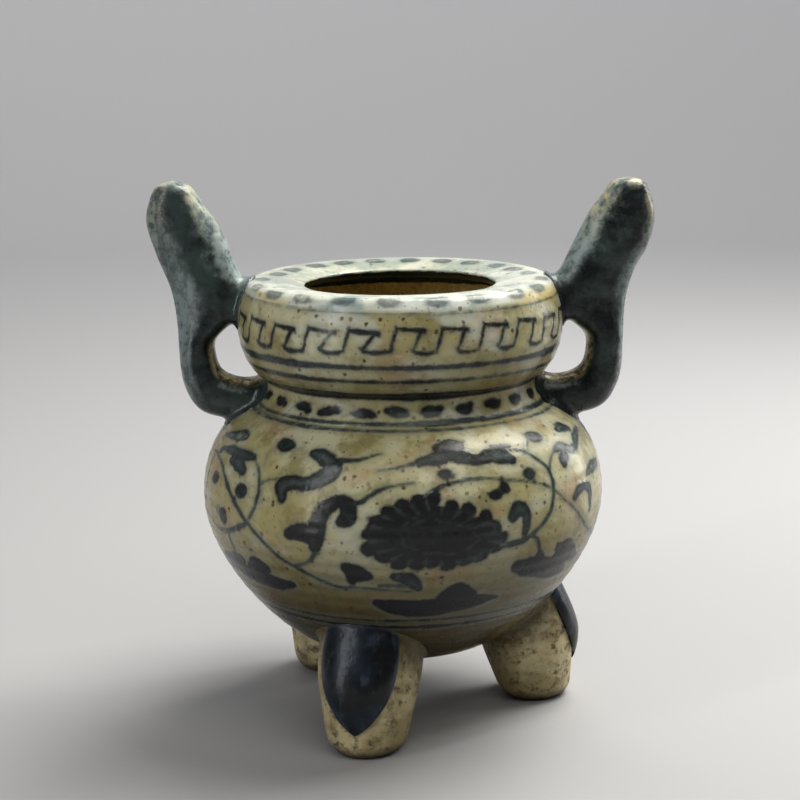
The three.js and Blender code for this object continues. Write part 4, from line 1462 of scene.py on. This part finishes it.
footFinish = footMaterial(footLook)
padFinish = padMaterial(padLook)
for side, degrees in footForm["angles"].items():
    footName, padName = f"foot_{side}_body", f"leaf_pad_{side}_body"
    addPiece(footName, buildFoot(footName, footForm, degrees), footFinish, f"foot_{side}")
    pad = buildPad(padName, padForm, footForm, side, degrees)
    addPiece(padName, pad, padFinish, f"leaf_pad_{side}")
print("feet and leaf pads set")

# Floor and studio light

studioSetup = {
    "floorColor": "b8b8ba",
    "floorRoughness": 0.6,
    "innerRings": (0.3, 0.7),
    "flatRadius": 1.2,
    "coveRadius": 1.9,
    "coveHeight": 1.0,
    "worldColor": "c9ccd2",
    "worldStrength": 0.05,
}


def makeFloor(setup):
    # a round sheet of paper, flat under the pot and curving up far behind it
    sides, steps = 96, 16
    flat, reach, height = setup["flatRadius"], setup["coveRadius"] - setup["flatRadius"], setup["coveHeight"]
    bend = np.linspace(0, math.pi / 2, steps)
    radii = np.concatenate([setup["innerRings"], flat + reach * np.sin(bend)])
    heights = np.concatenate([[0, 0], height * (1 - np.cos(bend))])
    vertices = [(r * math.sin(a), r * math.cos(a), z)
                for r, z in zip(radii, heights) for a in roundTurn(sides)]
    vertices.append((0, 0, 0))
    faces = ringFaces(len(radii), sides)
    faces += [((j + 1) % sides, j, len(vertices) - 1) for j in range(sides)]
    mesh = smoothMesh("floor", vertices, faces)
    material, tree, shader = newMaterial("floor_paper")
    shader.inputs["Base Color"].default_value = tint(setup["floorColor"])
    shader.inputs["Roughness"].default_value = setup["floorRoughness"]
    mesh.materials.append(material)
    newObject("floor", mesh)


def makeWorld(setup):
    world = bpy.data.worlds.new("studio")
    world.use_nodes = True
    background = world.node_tree.nodes["Background"]
    background.inputs["Color"].default_value = tint(setup["worldColor"])
    background.inputs["Strength"].default_value = setup["worldStrength"]
    bpy.context.scene.world = world


studioLights = {
    # place, aim, size (metres), power (watts), colour
    "overhead_softbox": ((0.34, 0.22, 0.8), (0, 0, 0.06), (0.6, 0.5), 7.8, "fffcf4"),
    "tall_strip": ((-0.52, -0.44, 0.34), (0, 0, 0.08), (0.02, 0.8), 1.4, "ffffff"),
    "back_strip": ((0.6, 0.35, 0.35), (0, 0, 0.1), (0.12, 0.6), 1.2, "ffffff"),
    "front_fill": ((0.35, -0.8, 1.3), (0, 0, 0.1), (1.0, 0.8), 4.6, "fffcf4"),
    "backdrop_wash": ((0, 0.9, 1.5), (0, 1.9, 0.5), (2.0, 0.4), 16.0, "ffffff"),
}


def makeLight(name, place, aim, size, power, color):
    data = bpy.data.lights.new(name, "AREA")
    data.shape = "RECTANGLE"
    data.size, data.size_y = size
    data.energy = power
    data.color = tint(color)[:3]
    light = newObject(name, data)
    light.location = place
    light.rotation_euler = (Vector(aim) - Vector(place)).to_track_quat("-Z", "Y").to_euler()


makeFloor(studioSetup)
makeWorld(studioSetup)
for lightName, setup in studioLights.items():
    makeLight(lightName, *setup)
bpy.context.scene.view_settings.view_transform = "Standard"
bpy.context.scene.view_settings.look = "Medium High Contrast"
print("studio lit")
